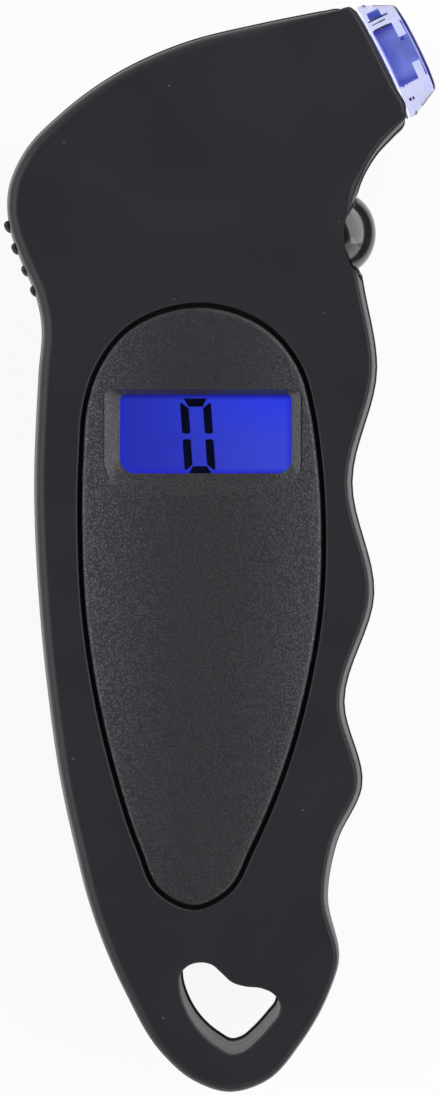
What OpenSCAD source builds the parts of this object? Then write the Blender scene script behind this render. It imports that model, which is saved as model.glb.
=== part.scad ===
// Digital tyre pressure gauge lying on its back, display up, head toward +Y.
// Lengths are millimetres. The casing splits in a front and a rear shell.

/* [Casing] */
// Length of the casing from tail to head
body_length = 150; // [142:1:162]
// Width that the casing outline is drawn for
body_width = 60; // [57:1:66]
// Thickness from the back to the front face
casing_depth = 27; // [25.5:0.5:31]
// Height of the parting plane above the back
split_height = 13.5; // [12.5:0.5:14.5]
// Shell wall
wall = 2.2; // [1.8:0.1:2.6]
// How far the front edge rounding reaches in
front_edge = 5; // [3.5:0.25:6]
// How far the rear edge rounding reaches in
rear_edge = 6; // [4.5:0.25:7]
// Rise of the back at the tail end
tail_rise = 7.5; // [5:0.5:9]
// Height of the thumb nubs
nub_height = 0.75; // [0.4:0.05:1]

/* [Face panel] */
// Width of the face panel
panel_width = 32.4; // [30:0.2:34]
// Length of the face panel
panel_length = 80.6; // [76:0.2:84]
// Thickness of the face panel
panel_thick = 2; // [1.6:0.1:2.4]
// Groove left open round the face panel
panel_gap = 0.6; // [0.3:0.05:0.9]
// Floor of the front shell under the face panel
floor_thick = 1.6; // [1.2:0.1:2]

/* [Display] */
// Width of the window
window_width = 23.7; // [20:0.1:25]
// Height of the window
window_height = 11.1; // [9:0.1:12.5]
// Depth of the sunken bezel
bezel_depth = 1.6; // [0.8:0.1:1.8]
// Thickness of the clear lens
lens_thick = 1; // [0.6:0.1:1.4]
// Rim of the lens hidden behind the panel
lens_rim = 1.6; // [1:0.1:2]
// Thickness of the display glass
glass_thick = 2; // [1.4:0.1:2.4]
// Thickness of the backlight guide
guide_thick = 1.8; // [1.2:0.1:2.2]
// Thickness of the circuit board
board_thick = 1.6; // [1:0.1:2]

/* [Nozzle] */
// Bore that takes the valve stem
nozzle_bore = 8.2; // [7.8:0.1:8.6]
// Depth of the bore to the seal
nozzle_depth = 5; // [4:0.25:6]
// How far the nozzle stands out of the casing
nozzle_reach = 4.6; // [3.5:0.1:6]
// Diameter at the foot of the nozzle
nozzle_base = 16.8; // [15.5:0.1:17.5]
// Diameter at the tip of the nozzle
nozzle_tip = 13.6; // [12:0.1:14.5]
// Thickness of the rubber seal
seal_thick = 2.6; // [2:0.1:3.2]
// Outer diameter of the air tube
tube_outer = 6; // [5:0.1:6.5]
// Inner diameter of the air tube
tube_inner = 3.6; // [3:0.1:4]

/* [Button] */
// Diameter of the push button
button_width = 9.4; // [8:0.1:10]
// Height of the button above the casing
button_proud = 2.6; // [1.8:0.1:3.2]
// Way that the button moves
button_travel = 0.5; // [0.3:0.05:0.6]
// Play round the button
button_play = 0.25; // [0.15:0.05:0.4]

/* [Battery] */
// Diameter of the coin cell
cell_width = 20; // [16:0.5:20.5]
// Thickness of the coin cell
cell_thick = 3.2; // [2:0.1:3.2]
// Thickness of the battery door
door_thick = 1.8; // [1.5:0.1:2]
// Play round the battery door
door_play = 0.15; // [0.1:0.05:0.3]

/* [Fasteners] */
// Shank diameter of the casing screws
screw_shank = 2.2; // [1.8:0.1:2.6]
// Head diameter of the casing screws
screw_head = 4.4; // [3.8:0.1:4.6]
// Shank diameter of the board screws
board_shank = 1.6; // [1.2:0.1:1.8]

/* [Hidden] */
$fn = 48;

// Fit between pieces that stay still
fit_gap = 0.15;
// Stretch of the drawn outline
sx = body_width / 60;
sy = body_length / 150;
function at(x, y) = [x * sx, y * sy];

// Casing outline, counter-clockwise from the top of the head
grip = [at(5.4, 72.5), at(-5.2, 69.7), at(-14.2, 65.6), at(-21.8, 60.1),
    at(-27, 54.6), at(-29.1, 49.7), at(-29.1, 44.7), at(-27.4, 39.5),
    at(-25.4, 34.8), at(-24.6, 30.7), at(-25, 24.2), at(-25.6, 7.8),
    at(-25.1, -4.8), at(-23.7, -19.8), at(-21.8, -32.8), at(-20, -41),
    at(-18.1, -48.5), at(-13.1, -60.9), at(-8.2, -69.2), at(-3.8, -73.1),
    at(1.4, -74.8), at(6.5, -73.3), at(11.5, -67.8), at(15.3, -60.9),
    at(16.6, -56.8), at(15.1, -47.6), at(16.4, -40.3), at(19.8, -32.8),
    at(17.4, -21), at(21.5, -6.2), at(18.5, 9.2), at(21.9, 25), at(20, 36.7),
    at(18.9, 43.7), at(19.4, 49.4), at(21.7, 53.9)];
// Rounded end of the head, which closes the outline
head_end = [at(24.5, 57.1), at(25.7, 58.4), at(25.9, 59.8), at(24.7, 63.4),
    at(22.9, 67), at(21.1, 70.6), at(20.1, 72.4), at(19.1, 73.8), at(18, 74.5),
    at(16.4, 74.4)];
// Way on past the head end, for hollows that are cut off there
run_on = [at(26, 58.7), at(33, 63.5), at(28, 76), at(17.8, 74.7)];
// Places in the outline which other pieces line up with
k_neck = 8;
k_board = 14;
k_valley = 28;
k_button = 33;

// Heart of the hang hole
heart = [at(-2.5, -55.7), at(-5.5, -58.2), at(-4.7, -62), at(-2, -65.1),
    at(2.2, -68.2), at(5.6, -65.9), at(8.1, -62.2), at(7.9, -60.6),
    at(6.2, -59.4), at(4.2, -59.1), at(1.7, -58.2), at(0.1, -56.5)];
hole_wall = 2;

// Smooth closed curve through given points
function wrap(p, i) = p[(i + len(p)) % len(p)];
function slope(a, b, c) =
    let (u = norm(b - a), v = norm(c - b)) ((b - a) / u * v + (c - b) / v * u) / (u + v);
function bend(b, c, m, n, t) =
    let (l = norm(c - b))
    (2 * t * t * t - 3 * t * t + 1) * b + (t * t * t - 2 * t * t + t) * l * m
    + (3 * t * t - 2 * t * t * t) * c + (t * t * t - t * t) * l * n;
function smooth(p, steps) = [for (i = [0 : len(p) - 1]) for (s = [0 : steps - 1])
    bend(p[i], wrap(p, i + 1), slope(wrap(p, i - 1), p[i], wrap(p, i + 1)),
        slope(p[i], wrap(p, i + 1), wrap(p, i + 2)), s / steps)];
function outward(p, i) =
    let (t = wrap(p, i + 1) - wrap(p, i - 1)) [t[1], -t[0]] / norm(t);
function inset(p, by) = [for (i = [0 : len(p) - 1]) p[i] - by * outward(p, i)];

rim_steps = 4;
rim = smooth(concat(grip, head_end), rim_steps);
rim_plain = smooth(concat(grip, run_on), 2);
count = len(rim);

// Edge rounding, softer beside the button
button_at = grip[k_button];
button_relief = 5;
button_fill = 3.4;
function near_button(p) =
    p[0] > 0 ? exp(-pow((p[1] - button_at[1]) / 7, 2)) : 0;
// Share of an inset that is kept, falling off over a way along the nozzle line
function kept(p, start, way, least) =
    let (u = (p - nozzle_at) * [cos(nozzle_turn), sin(nozzle_turn)])
    max(least, min(1, 1 - (1 - least) * (u - start) / way));
ring_turns = [0, 18, 36, 52, 66, 78, 90];
// A half is drawn past the parting plane and past its flat face, then cut there
spill = 1;
crest = 0.15;
function ring(turn, height, reach) = [for (i = [0 : count - 1])
    let (b = near_button(rim[i]),
        e = 2 / (2.3 - 0.7 * b),
        in = kept(rim[i], -9, 8, 0.26) * (reach + button_relief * b) * (1 - pow(cos(turn), e)),
        q = rim[i] - in * outward(rim, i))
    [q[0], q[1], turn > 0 ? (height + crest) * pow(sin(turn), e) : -spill]];

// Points in the grip and in the head that the flat faces of a half fan from
hubs = [at(-3, -15), at(2, 58)];
head_from = rim_steps * k_button;
head_to = rim_steps * k_neck;

// One domed half of the casing, parting plane down
module domed_half(height, reach) {
    rings = [for (t = ring_turns) each ring(t, height, reach)];
    last = (len(ring_turns) - 1) * count;
    size = len(rings);
    middles = [for (z = [-spill, height + crest]) for (h = hubs) [h[0], h[1], z]];
    sides = [for (k = [0 : len(ring_turns) - 2]) for (i = [0 : count - 1])
        let (a = k * count + i, b = k * count + (i + 1) % count)
        each [[a, a + count, b + count], [a, b + count, b]]];
    fan = concat([for (i = [0 : count - 1])
        [i, (i + 1) % count, size + (i >= head_from || i < head_to ? 1 : 0)]],
        [[head_from, size + 1, size], [head_to, size, size + 1]]);
    lid = [for (f = fan) [for (k = [2, 1, 0]) f[k] + (f[k] < size ? last : len(hubs))]];
    difference() {
        polyhedron(concat(rings, middles), concat(sides, fan, lid));
        translate([-body_width, -body_length, height])
            cube([2 * body_width, 2 * body_length, 2 * crest]);
    }
}

// Stack of the display, from the front down
panel_seat = casing_depth - panel_thick;
floor_under = panel_seat - floor_thick;
glass_top = floor_under - 0.2;
glass_under = glass_top - glass_thick;
guide_top = glass_under - 0.2;
guide_under = guide_top - guide_thick;
board_top = guide_under - 0.6;
board_under = board_top - board_thick;

// Face panel outline
panel_at = at(-2.3, 3);
panel_turn = -1.3;
panel_up = panel_length * 0.366;
panel_down = panel_length - panel_up;
function bow(v, e) = sign(v) * pow(abs(v), e);
function egg(grow) = [for (t = [0 : 5 : 355])
    let (e = sin(t) > 0 ? 2 / 2.65 : 2 / 1.76,
        l = (sin(t) > 0 ? panel_up : panel_down) + grow)
    [(panel_width / 2 + grow) * bow(cos(t), e), l * bow(sin(t), e)]];

// Window and display sizes
window_at = at(-1.6, 15.6);
slope_side = 2;
slope_top = 1.8;
slope_low = 3.4;
lens_size = [window_width, window_height] + 2 * [lens_rim, lens_rim];
glass_size = lens_size + [2, 3];
strip_width = 2;
frame_wall = 1;
frame_inner = glass_size + 2 * [fit_gap, fit_gap];
frame_size = frame_inner + 2 * [frame_wall, frame_wall];

// Circuit board edges from the casing outline
board_play = 1;
board_left = grip[k_board][0] + wall + board_play;
board_right = grip[k_valley][0] - wall - board_play;
board_low = grip[k_board][1];
board_high = at(0, 47)[1];

// Nozzle line, through the middle of the head end
nozzle_at = at(22.9, 67);
nozzle_turn = 26.5;
head_wall = wall;
bore_r = nozzle_bore / 2;
seat_r = bore_r + 0.8;
neck_r = seat_r + 1;
collar_r = neck_r + 1.1;
collar_thick = 1.8;
seat_u = nozzle_reach - nozzle_depth;
fitting_u = seat_u - seal_thick;
barrel_u = fitting_u - 6.5;
nut_thick = 2.5;
nut_r = seat_r + 0.7;
barb_u = barrel_u - fit_gap - nut_thick;
barb_long = 8;
barb_r = tube_inner / 2 - 0.1;
air_r = barb_r - 0.8;

// Air tube: straight from the barb, round a bend, down to the sensor port
tube_turn_r = 12;
port_x = at(-4, 0)[0];
tube_meet = (nozzle_at[0] - port_x) / cos(nozzle_turn);
tube_cut = tube_turn_r * tan((90 - nozzle_turn) / 2);
tube_start = barb_u - fit_gap;
bend_u = tube_cut - tube_meet;
bend_y = nozzle_at[1] - tube_meet * sin(nozzle_turn) - tube_cut;
tube_tail = 3.6;
port_y = bend_y - tube_tail - 0.4;
sensor_size = [10, 9];
sensor_drop = split_height - 2.2;

// Button and switch along +X
button_r = button_width / 2;
dome_r = (button_r * button_r + button_proud * button_proud) / (2 * button_proud);
flange_r = button_r + 1.2;
flange_thick = 1.2;
pad_thick = 1.5;
flange_x = button_at[0] - wall - pad_thick - fit_gap;
flange_free = flange_x - flange_thick - button_travel - 0.5;
post_long = 1.5;
plunger_x = flange_x - flange_thick - post_long;
plunger_out = 1.5;
plunger_in = 1;
switch_x = plunger_x - plunger_out;
switch_size = [3.6, 6, 6];

// Battery bay in the back
cell_at = at(-3, -20);
cell_play = 0.3;
cell_low = door_thick + 0.5;
cell_high = cell_low + cell_thick;
spring_room = 1.2;
bay_roof = cell_high + spring_room;
roof_thick = 1.5;
door_wide = cell_width + 3;
tongue = 1;
tongue_low = door_thick / 2 + 0.1;
door_high = cell_at[1] + cell_width / 2 + 3.5;
door_low = at(0, -37.5)[1];
blade_thick = 0.4;
blade_y = cell_at[1] + cell_width / 2 + 0.05;
leaf_y = cell_at[1] - cell_width / 2 + 2;

// Screw places
boss_wall = 1.3;
pilot_gap = 0.05;
boss_r = screw_shank / 2 + boss_wall;
screw_places = [at(-21, 50), at(12.2, 51.6), at(-12.8, -46), at(8.5, -46)];
screw_seats = [wall + 1.2, wall + 1.2, wall + 3.9, wall + 3.9];
screw_high = split_height + 6;
head_thick = 1.6;
head_room = 0.4;
board_post_r = board_shank / 2 + 1.2;
board_places = [[board_left + 3.2, board_high - 3.2], [board_right - 3, board_high - 13],
    [board_left + 3.2, board_low + 3], [board_right - 3, board_low + 3]];

// Thumb nubs on the left of the head
nub_places = [at(-29.1, 44.3), at(-28.1, 41.2), at(-26.8, 38.1), at(-25.6, 35.3)];
nub_r = 0.95;
nub_rows = [2.1, 5.2];

function nozzle_point(u) = [nozzle_at[0] + u * cos(nozzle_turn),
    nozzle_at[1] + u * sin(nozzle_turn), split_height];

module along_nozzle(u) {
    translate([nozzle_at[0], nozzle_at[1], split_height])
        rotate([0, 0, nozzle_turn])
            translate([u, 0, 0])
                rotate([0, 90, 0])
                    children();
}

module along_button(x) {
    translate([x, button_at[1], split_height])
        rotate([0, 90, 0])
            children();
}

module panel_place() {
    translate([panel_at[0], panel_at[1], 0])
        rotate([0, 0, panel_turn])
            children();
}

module plate(size, r, low, high) {
    translate([0, 0, low])
        linear_extrude(high - low)
            union() {
                square([size[0] - 2 * r, size[1]], center = true);
                square([size[0], size[1] - 2 * r], center = true);
                for (x = [-1, 1]) for (y = [-1, 1])
                    translate([x * (size[0] / 2 - r), y * (size[1] / 2 - r)])
                        circle(r);
            }
}

module box(x0, x1, y0, y1, z0, z1) {
    translate([x0, y0, z0])
        cube([x1 - x0, y1 - y0, z1 - z0]);
}

// Round bar along a level path, or a pipe where a bore is given
function hoop(path, i, r, sides) =
    let (n = len(path),
        t = path[min(i + 1, n - 1)] - path[max(i - 1, 0)],
        s = cross([0, 0, 1], t) / norm(cross([0, 0, 1], t)),
        u = cross(t, s) / norm(t))
    [for (k = [0 : sides - 1])
        path[i] + r * (cos(k * 360 / sides) * s + sin(k * 360 / sides) * u)];

module run(path, r, sides, bore = 0) {
    n = len(path);
    size = n * sides;
    skin = [for (i = [0 : n - 1]) each hoop(path, i, r, sides)];
    lining = bore > 0 ? [for (i = [0 : n - 1]) each hoop(path, i, bore, sides)] : [];
    outside = [for (i = [0 : n - 2]) for (k = [0 : sides - 1])
        let (a = i * sides + k, b = i * sides + (k + 1) % sides)
        each [[a, a + sides, b + sides], [a, b + sides, b]]];
    inside = [for (f = outside) [f[2] + size, f[1] + size, f[0] + size]];
    last = size - sides;
    discs = [[for (k = [0 : sides - 1]) k], [for (k = [0 : sides - 1]) size - 1 - k]];
    rims = [for (k = [0 : sides - 1])
        let (m = (k + 1) % sides)
        each [[k, m, m + size], [k, m + size, k + size],
            [last + m + size, last + m, last + k],
            [last + k + size, last + m + size, last + k]]];
    polyhedron(concat(skin, lining),
        bore > 0 ? concat(outside, inside, rims) : concat(outside, discs));
}

// Everything beyond a plane across the nozzle line
module beyond(u) {
    along_nozzle(u)
        translate([-body_length, -body_length, 0])
            cube([2, 2, 1] * body_length);
}

module heart_prism(grow, low, high) {
    translate([0, 0, low])
        linear_extrude(high - low)
            polygon(inset(smooth(heart, 4), -grow));
}

module hollow(by, low, high) {
    difference() {
        translate([0, 0, low])
            linear_extrude(high - low)
                polygon([for (i = [0 : len(rim_plain) - 1])
                    let (p = rim_plain[i])
                    p - kept(p, 0, 8, 0.2) * (by + button_fill * near_button(p)) * outward(rim_plain, i)]);
        beyond(-head_wall);
    }
}

// What both shells leave free for the nozzle, its fitting and the button
module head_cuts() {
    along_nozzle(-head_wall - 1)
        cylinder(r = neck_r + fit_gap, h = head_wall + 3);
    along_nozzle(-head_wall - fit_gap - collar_thick - 0.3)
        cylinder(r = collar_r + fit_gap, h = collar_thick + fit_gap + 0.3);
    along_nozzle(barb_u)
        cylinder(r = neck_r + 2 * fit_gap, h = -head_wall - 1 - barb_u);
    along_button(flange_free)
        cylinder(r = flange_r + button_play, h = flange_x + fit_gap - flange_free);
    along_button(flange_x - 1)
        cylinder(r = button_r + button_play, h = 12);
}

// Space below the sloped back of the tail, which starts at the foot of the door
module tail_slope(lift) {
    end = -body_length / 2 - 9;
    start = door_thick + door_play;
    steep = (tail_rise - start) / (body_length / 2 + door_low);
    translate([-50, 0, lift])
        rotate([90, 0, 90])
            linear_extrude(100)
                polygon([[door_low, -20], [door_low, start],
                    [end, start + steep * (door_low - end)], [end, -20]]);
}

module rear_hollow(by, low) {
    difference() {
        hollow(by, low, split_height + 1);
        tail_slope(wall);
    }
}

module nubs(side) {
    for (p = nub_places) for (z = nub_rows)
        translate([p[0] + nub_r - nub_height + z * z / 80, p[1], split_height + side * z])
            sphere(nub_r);
}

module front_shell() {
    front_high = casing_depth - split_height;
    color("dimgray")
    difference() {
        union() {
            difference() {
                translate([0, 0, split_height])
                    domed_half(front_high, front_edge);
                hollow(wall, split_height - 1, split_height + 0.5 * front_high);
                hollow(wall + 1.2, split_height - 1, split_height + 0.7 * front_high);
                hollow(wall + 3.3, split_height - 1, floor_under);
            }
            for (p = screw_places)
                translate([p[0], p[1], split_height - spill])
                    cylinder(r = boss_r, h = floor_under + 0.5 - split_height + spill);
            for (p = board_places)
                translate([p[0], p[1], board_top])
                    cylinder(r = board_post_r, h = floor_under + 0.5 - board_top);
            heart_prism(hole_wall, split_height - spill, floor_under + 0.5);
            nubs(1);
        }
        translate([-body_length, -body_length, split_height - 2 * spill])
            cube([2 * body_length, 2 * body_length, 2 * spill]);
        panel_place()
            translate([0, 0, panel_seat])
                linear_extrude(5)
                    polygon(egg(panel_gap));
        translate([window_at[0], window_at[1], 0])
            plate(lens_size + 2 * [fit_gap, fit_gap], 1, floor_under - 1, panel_seat + 1);
        translate([window_at[0], window_at[1], 0])
            plate(frame_size + 2 * [fit_gap, fit_gap], 1, split_height - 1, glass_top + fit_gap / 2);
        for (p = screw_places)
            translate([p[0], p[1], split_height - 1])
                cylinder(r = screw_shank / 2 + pilot_gap, h = screw_high + 1.5 - split_height);
        for (p = board_places)
            translate([p[0], p[1], board_top - 1])
                cylinder(r = board_shank / 2 + pilot_gap, h = 4.7);
        heart_prism(0, split_height - 1, casing_depth + 1);
        head_cuts();
    }
}

module rear_shell() {
    bay = cell_width / 2 + cell_play;
    color("dimgray")
    difference() {
        union() {
            difference() {
                translate([0, 0, split_height])
                    mirror([0, 0, 1])
                        domed_half(split_height, rear_edge);
                rear_hollow(wall, 0.5 * split_height);
                rear_hollow(wall + 1.6, 0.3 * split_height);
                rear_hollow(wall + 4, wall);
            }
            for (i = [0 : len(screw_places) - 1])
                translate([screw_places[i][0], screw_places[i][1], 1]) {
                    cylinder(r = boss_r, h = split_height - 1 + spill);
                    cylinder(r = screw_head / 2 + head_room + 1, h = screw_seats[i] + 0.2);
                }
            box(cell_at[0] - door_wide / 2 - tongue - 1.2, cell_at[0] + door_wide / 2 + tongue + 1.2,
                door_low, door_high + 1.5, 1, bay_roof + roof_thick);
            heart_prism(hole_wall, 2, split_height + spill);
            nubs(-1);
        }
        translate([-body_length, -body_length, split_height])
            cube([2 * body_length, 2 * body_length, 2 * spill]);
        tail_slope(0);
        // Slot of the door, open at the tail
        box(cell_at[0] - door_wide / 2 - door_play, cell_at[0] + door_wide / 2 + door_play,
            door_low - 1, door_high + door_play, -1, tongue_low);
        box(cell_at[0] - door_wide / 2 - tongue - door_play,
            cell_at[0] + door_wide / 2 + tongue + door_play,
            door_low - 1, door_high + door_play,
            tongue_low - door_play, door_thick + door_play);
        // Bay of the cell, with room for the contacts
        translate([cell_at[0], cell_at[1], door_thick])
            cylinder(r = bay, h = bay_roof - door_thick);
        box(cell_at[0] - 3.2, cell_at[0] + 3.2, cell_at[1], blade_y + blade_thick + 0.4,
            door_thick + 0.01, bay_roof + roof_thick + 1);
        box(cell_at[0] - 2.4, cell_at[0] + 2.4, leaf_y - 0.4, leaf_y + blade_thick + 0.4,
            cell_high, bay_roof + roof_thick + 1);
        for (i = [0 : len(screw_places) - 1])
            translate([screw_places[i][0], screw_places[i][1], -1]) {
                cylinder(r = screw_shank / 2 + 0.3, h = split_height + 2);
                cylinder(r = screw_head / 2 + head_room, h = screw_seats[i] + 1);
            }
        heart_prism(0, -1, split_height + 1);
        head_cuts();
    }
}

module face_panel() {
    top = casing_depth;
    color("slategray")
    difference() {
        panel_place()
            translate([0, 0, panel_seat])
                linear_extrude(panel_thick)
                    polygon(egg(0));
        translate([window_at[0], window_at[1], 0]) {
            plate([window_width, window_height], 1.6, panel_seat - 1, top);
            hull() {
                plate([window_width, window_height], 1.6, top - bezel_depth, top - bezel_depth + 0.05);
                translate([0, (slope_top - slope_low) / 2, 0])
                    plate([window_width + 2 * slope_side, window_height + slope_top + slope_low],
                        2.2, top, top + 0.05);
            }
        }
    }
}

module display_lens() {
    color("lightblue")
    translate([window_at[0], window_at[1], 0])
        plate(lens_size, 1, panel_seat - lens_thick, panel_seat);
}

module lcd_panel() {
    color("royalblue")
    translate([window_at[0], window_at[1], 0])
        union() {
            plate(glass_size, 0.3, glass_under + glass_thick / 2, glass_top);
            plate(glass_size - [0, 2 * strip_width], 0.3, glass_under, glass_top - glass_thick / 2);
        }
}

module lcd_frame() {
    color("white")
    translate([window_at[0], window_at[1], 0])
        difference() {
            plate(frame_size, 1, board_top, glass_top);
            plate(frame_inner, 0.3, board_top - 1, glass_top + 1);
        }
}

module backlight_guide() {
    led_room = 3;
    color("lightcyan")
    translate([window_at[0] + led_room / 2, window_at[1], 0])
        plate(glass_size - [led_room, 2 * strip_width + 0.4], 0.3, guide_under, guide_top);
}

module backlight_leds() {
    color("ivory")
    for (y = [-1, 1])
        translate([window_at[0] - glass_size[0] / 2 + 1.3, window_at[1] + y * glass_size[1] / 5, board_top + 0.9])
            cube([1.4, 3, 1.8], center = true);
}

module zebra_strips() {
    color("hotpink")
    for (y = [-1, 1])
        translate([window_at[0], window_at[1] + y * (glass_size[1] / 2 - strip_width / 2), 0])
            plate([glass_size[0] - 3, strip_width - 0.4], 0.3, board_top, glass_under + glass_thick / 2);
}

module circuit_board() {
    color("seagreen")
    difference() {
        translate([(board_left + board_right) / 2, (board_low + board_high) / 2, 0])
            plate([board_right - board_left, board_high - board_low], 1, board_under, board_top);
        for (p = board_places)
            translate([p[0], p[1], board_under - 1])
                cylinder(r = board_shank / 2 + 0.2, h = board_thick + 2);
        along_button(flange_free)
            cylinder(r = flange_r + button_play, h = 12);
    }
}

module chip_blob() {
    blob_r = 6;
    blob_high = 1.6;
    color("black")
    translate([window_at[0] - 3, window_at[1] - 2, board_under])
        rotate_extrude()
            polygon(concat([[0, 0]], [for (t = [0 : 18 : 90])
                [t < 90 ? blob_r * pow(cos(t), 0.8) : 0, -blob_high * sin(t)]]));
}

module timing_crystal() {
    color("silver")
    translate([window_at[0] + 9, window_at[1] - 4, board_under - 1])
        rotate([90, 0, 0])
            cylinder(r = 1, h = 6, center = true);
}

module board_parts() {
    color("tan")
    for (p = [[-11, 9], [-11, 5], [6, 9], [6, 5.5], [9.5, 9], [-4, -13], [0, -13], [4, -13]])
        translate([window_at[0] + p[0], window_at[1] + p[1], board_under - 0.45])
            cube([2, 1.25, 0.9], center = true);
}

module pressure_sensor() {
    low = sensor_drop;
    color("darkslategray")
    difference() {
        union() {
            box(port_x - sensor_size[0] / 2, port_x + sensor_size[0] / 2,
                port_y - sensor_size[1], port_y, low, board_under);
            translate([port_x, port_y - 1, split_height])
                rotate([-90, 0, 0])
                    cylinder(r = barb_r, h = bend_y - port_y + 0.8);
        }
        translate([port_x, port_y - 3, split_height])
            rotate([-90, 0, 0])
                cylinder(r = air_r, h = 20);
    }
}

module button_switch() {
    color("dimgray")
    difference() {
        union() {
            box(switch_x - switch_size[0], switch_x, button_at[1] - switch_size[1] / 2,
                button_at[1] + switch_size[1] / 2, split_height - switch_size[2] / 2,
                split_height + switch_size[2] / 2);
            for (y = [-1, 1])
                box(switch_x - switch_size[0], switch_x - 0.6,
                    button_at[1] + y * (switch_size[1] / 2 - 0.4) - 0.4,
                    button_at[1] + y * (switch_size[1] / 2 - 0.4) + 0.4,
                    split_height, board_under);
        }
        along_button(switch_x - plunger_in - button_travel - 0.3)
            cylinder(r = 1.75 + fit_gap, h = 10);
    }
}

module switch_plunger() {
    color("white")
    along_button(plunger_x - plunger_out - plunger_in)
        cylinder(r = 1.75, h = plunger_out + plunger_in);
}

module push_button() {
    color("black")
    union() {
        intersection() {
            along_button(button_at[0] + button_proud - dome_r)
                sphere(dome_r, $fn = 96);
            along_button(flange_x - 0.5)
                cylinder(r = button_r, h = 20);
        }
        along_button(flange_x - flange_thick)
            cylinder(r = flange_r, h = flange_thick);
        along_button(plunger_x)
            cylinder(r = 1.5, h = post_long + 0.5);
    }
}

module nozzle() {
    base_r = nozzle_base / 2;
    tip_r = nozzle_tip / 2;
    lip = 0.9;
    collar_top = -head_wall - fit_gap;
    color("slateblue")
    along_nozzle(0)
        rotate_extrude()
            polygon([[bore_r + 0.3, nozzle_reach], [tip_r - lip, nozzle_reach],
                [tip_r - 0.3, nozzle_reach - 0.25], [tip_r, nozzle_reach - lip],
                [base_r, 0.7], [base_r, fit_gap], [neck_r, fit_gap],
                [neck_r, collar_top], [collar_r, collar_top],
                [collar_r, collar_top - collar_thick], [neck_r, collar_top - collar_thick],
                [neck_r, barrel_u], [seat_r, barrel_u], [seat_r, seat_u],
                [bore_r, seat_u], [bore_r, nozzle_reach - 0.3]]);
}

module valve_seal() {
    color("black")
    along_nozzle(fitting_u)
        difference() {
            cylinder(r = seat_r - 0.05, h = seal_thick);
            translate([0, 0, -1])
                cylinder(r = 2.2, h = seal_thick + 2);
        }
}

module valve_pin() {
    color("gold")
    along_nozzle(fitting_u - 3)
        union() {
            translate([0, 0, 1.5])
                cube([air_r * 1.38, air_r * 1.38, 3.2], center = true);
            translate([0, 0, 3])
                cylinder(r = 1.2, h = seal_thick - 0.3);
            translate([0, 0, 3.05])
                cube([3, 0.8, 0.1], center = true);
        }
}

module air_fitting() {
    color("goldenrod")
    along_nozzle(0)
        difference() {
            union() {
                translate([0, 0, barrel_u - fit_gap - 0.5])
                    cylinder(r = seat_r - 0.05, h = fitting_u - barrel_u + fit_gap + 0.5);
                translate([0, 0, barb_u])
                    cylinder(r = nut_r, h = nut_thick, $fn = 6);
                translate([0, 0, barb_u - barb_long])
                    cylinder(r = barb_r, h = barb_long + 0.5);
            }
            translate([0, 0, barb_u - barb_long - 1])
                cylinder(r = air_r, h = 40);
        }
}

module air_tube() {
    turn_at = [port_x + tube_turn_r, bend_y];
    color("lightgray")
    run(concat([nozzle_point(tube_start)],
        [for (t = [0 : 8])
            let (a = 90 + nozzle_turn + t / 8 * (90 - nozzle_turn))
            [turn_at[0] + tube_turn_r * cos(a), turn_at[1] + tube_turn_r * sin(a), split_height]],
        [[port_x, bend_y - tube_tail, split_height]]), tube_outer / 2, 20, tube_inner / 2);
}

led_up = neck_r + 2.1;
led_u = -head_wall - fit_gap - collar_thick - 0.6;

module nozzle_led() {
    color("aliceblue")
    along_nozzle(led_u)
        translate([-led_up, 0, 0])
            union() {
                translate([0, 0, -1.5])
                    sphere(1.5);
                translate([0, 0, -4.5])
                    cylinder(r = 1.5, h = 3);
                translate([0, 0, -4.5])
                    cylinder(r = 1.7, h = 0.8);
                for (y = [-0.9, 0.9])
                    translate([0, y, -7.5])
                        cylinder(r = 0.25, h = 3.5);
            }
}

module led_wires() {
    wire_r = 0.45;
    across = [-sin(nozzle_turn), cos(nozzle_turn), 0];
    color("red")
    for (i = [0, 1]) {
        foot = nozzle_point(led_u - 7.6) + (1.8 * i - 0.9) * across + [0, 0, led_up];
        x = at(6.2 - 2.6 * i, 0)[0];
        run([foot, foot - [1.8, 1.2, 0], [x + 2.4, at(0, 56)[1], foot[2] - 0.3],
            [x + 0.5, at(0, 51)[1], (foot[2] + board_top) / 2 + 0.4],
            [x, board_high, board_top + wire_r + 0.05],
            [x, board_high - 3, board_top + wire_r + 0.05]], wire_r, 8);
    }
}

module coin_cell() {
    color("silver")
    translate([cell_at[0], cell_at[1], cell_low])
        union() {
            cylinder(r = cell_width / 2, h = cell_thick - 0.4);
            cylinder(r = cell_width / 2 - 1.2, h = cell_thick);
        }
}

module positive_contact() {
    color("gold")
    union() {
        box(cell_at[0] - 2.5, cell_at[0] + 2.5, blade_y, blade_y + blade_thick,
            cell_low + 0.3, board_under);
        box(cell_at[0] - 2.5, cell_at[0] + 2.5, blade_y - 1, blade_y + 0.1,
            cell_high + 0.5, cell_high + 0.5 + blade_thick);
    }
}

module negative_contact() {
    color("gold")
    union() {
        box(cell_at[0] - 2, cell_at[0] + 2, leaf_y, leaf_y + blade_thick,
            bay_roof - blade_thick - 0.1, board_under);
        translate([cell_at[0] - 2, 0, 0])
            rotate([90, 0, 90])
                linear_extrude(4)
                    polygon([[leaf_y, bay_roof - 0.1], [leaf_y, bay_roof - 0.1 - blade_thick],
                        [cell_at[1] - 2, bay_roof - 0.1 - blade_thick], [cell_at[1] + 2, cell_high],
                        [cell_at[1] + 3, cell_high], [cell_at[1] + 3, cell_high + 0.2],
                        [cell_at[1] - 1.5, bay_roof - 0.1]]);
    }
}

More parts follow.
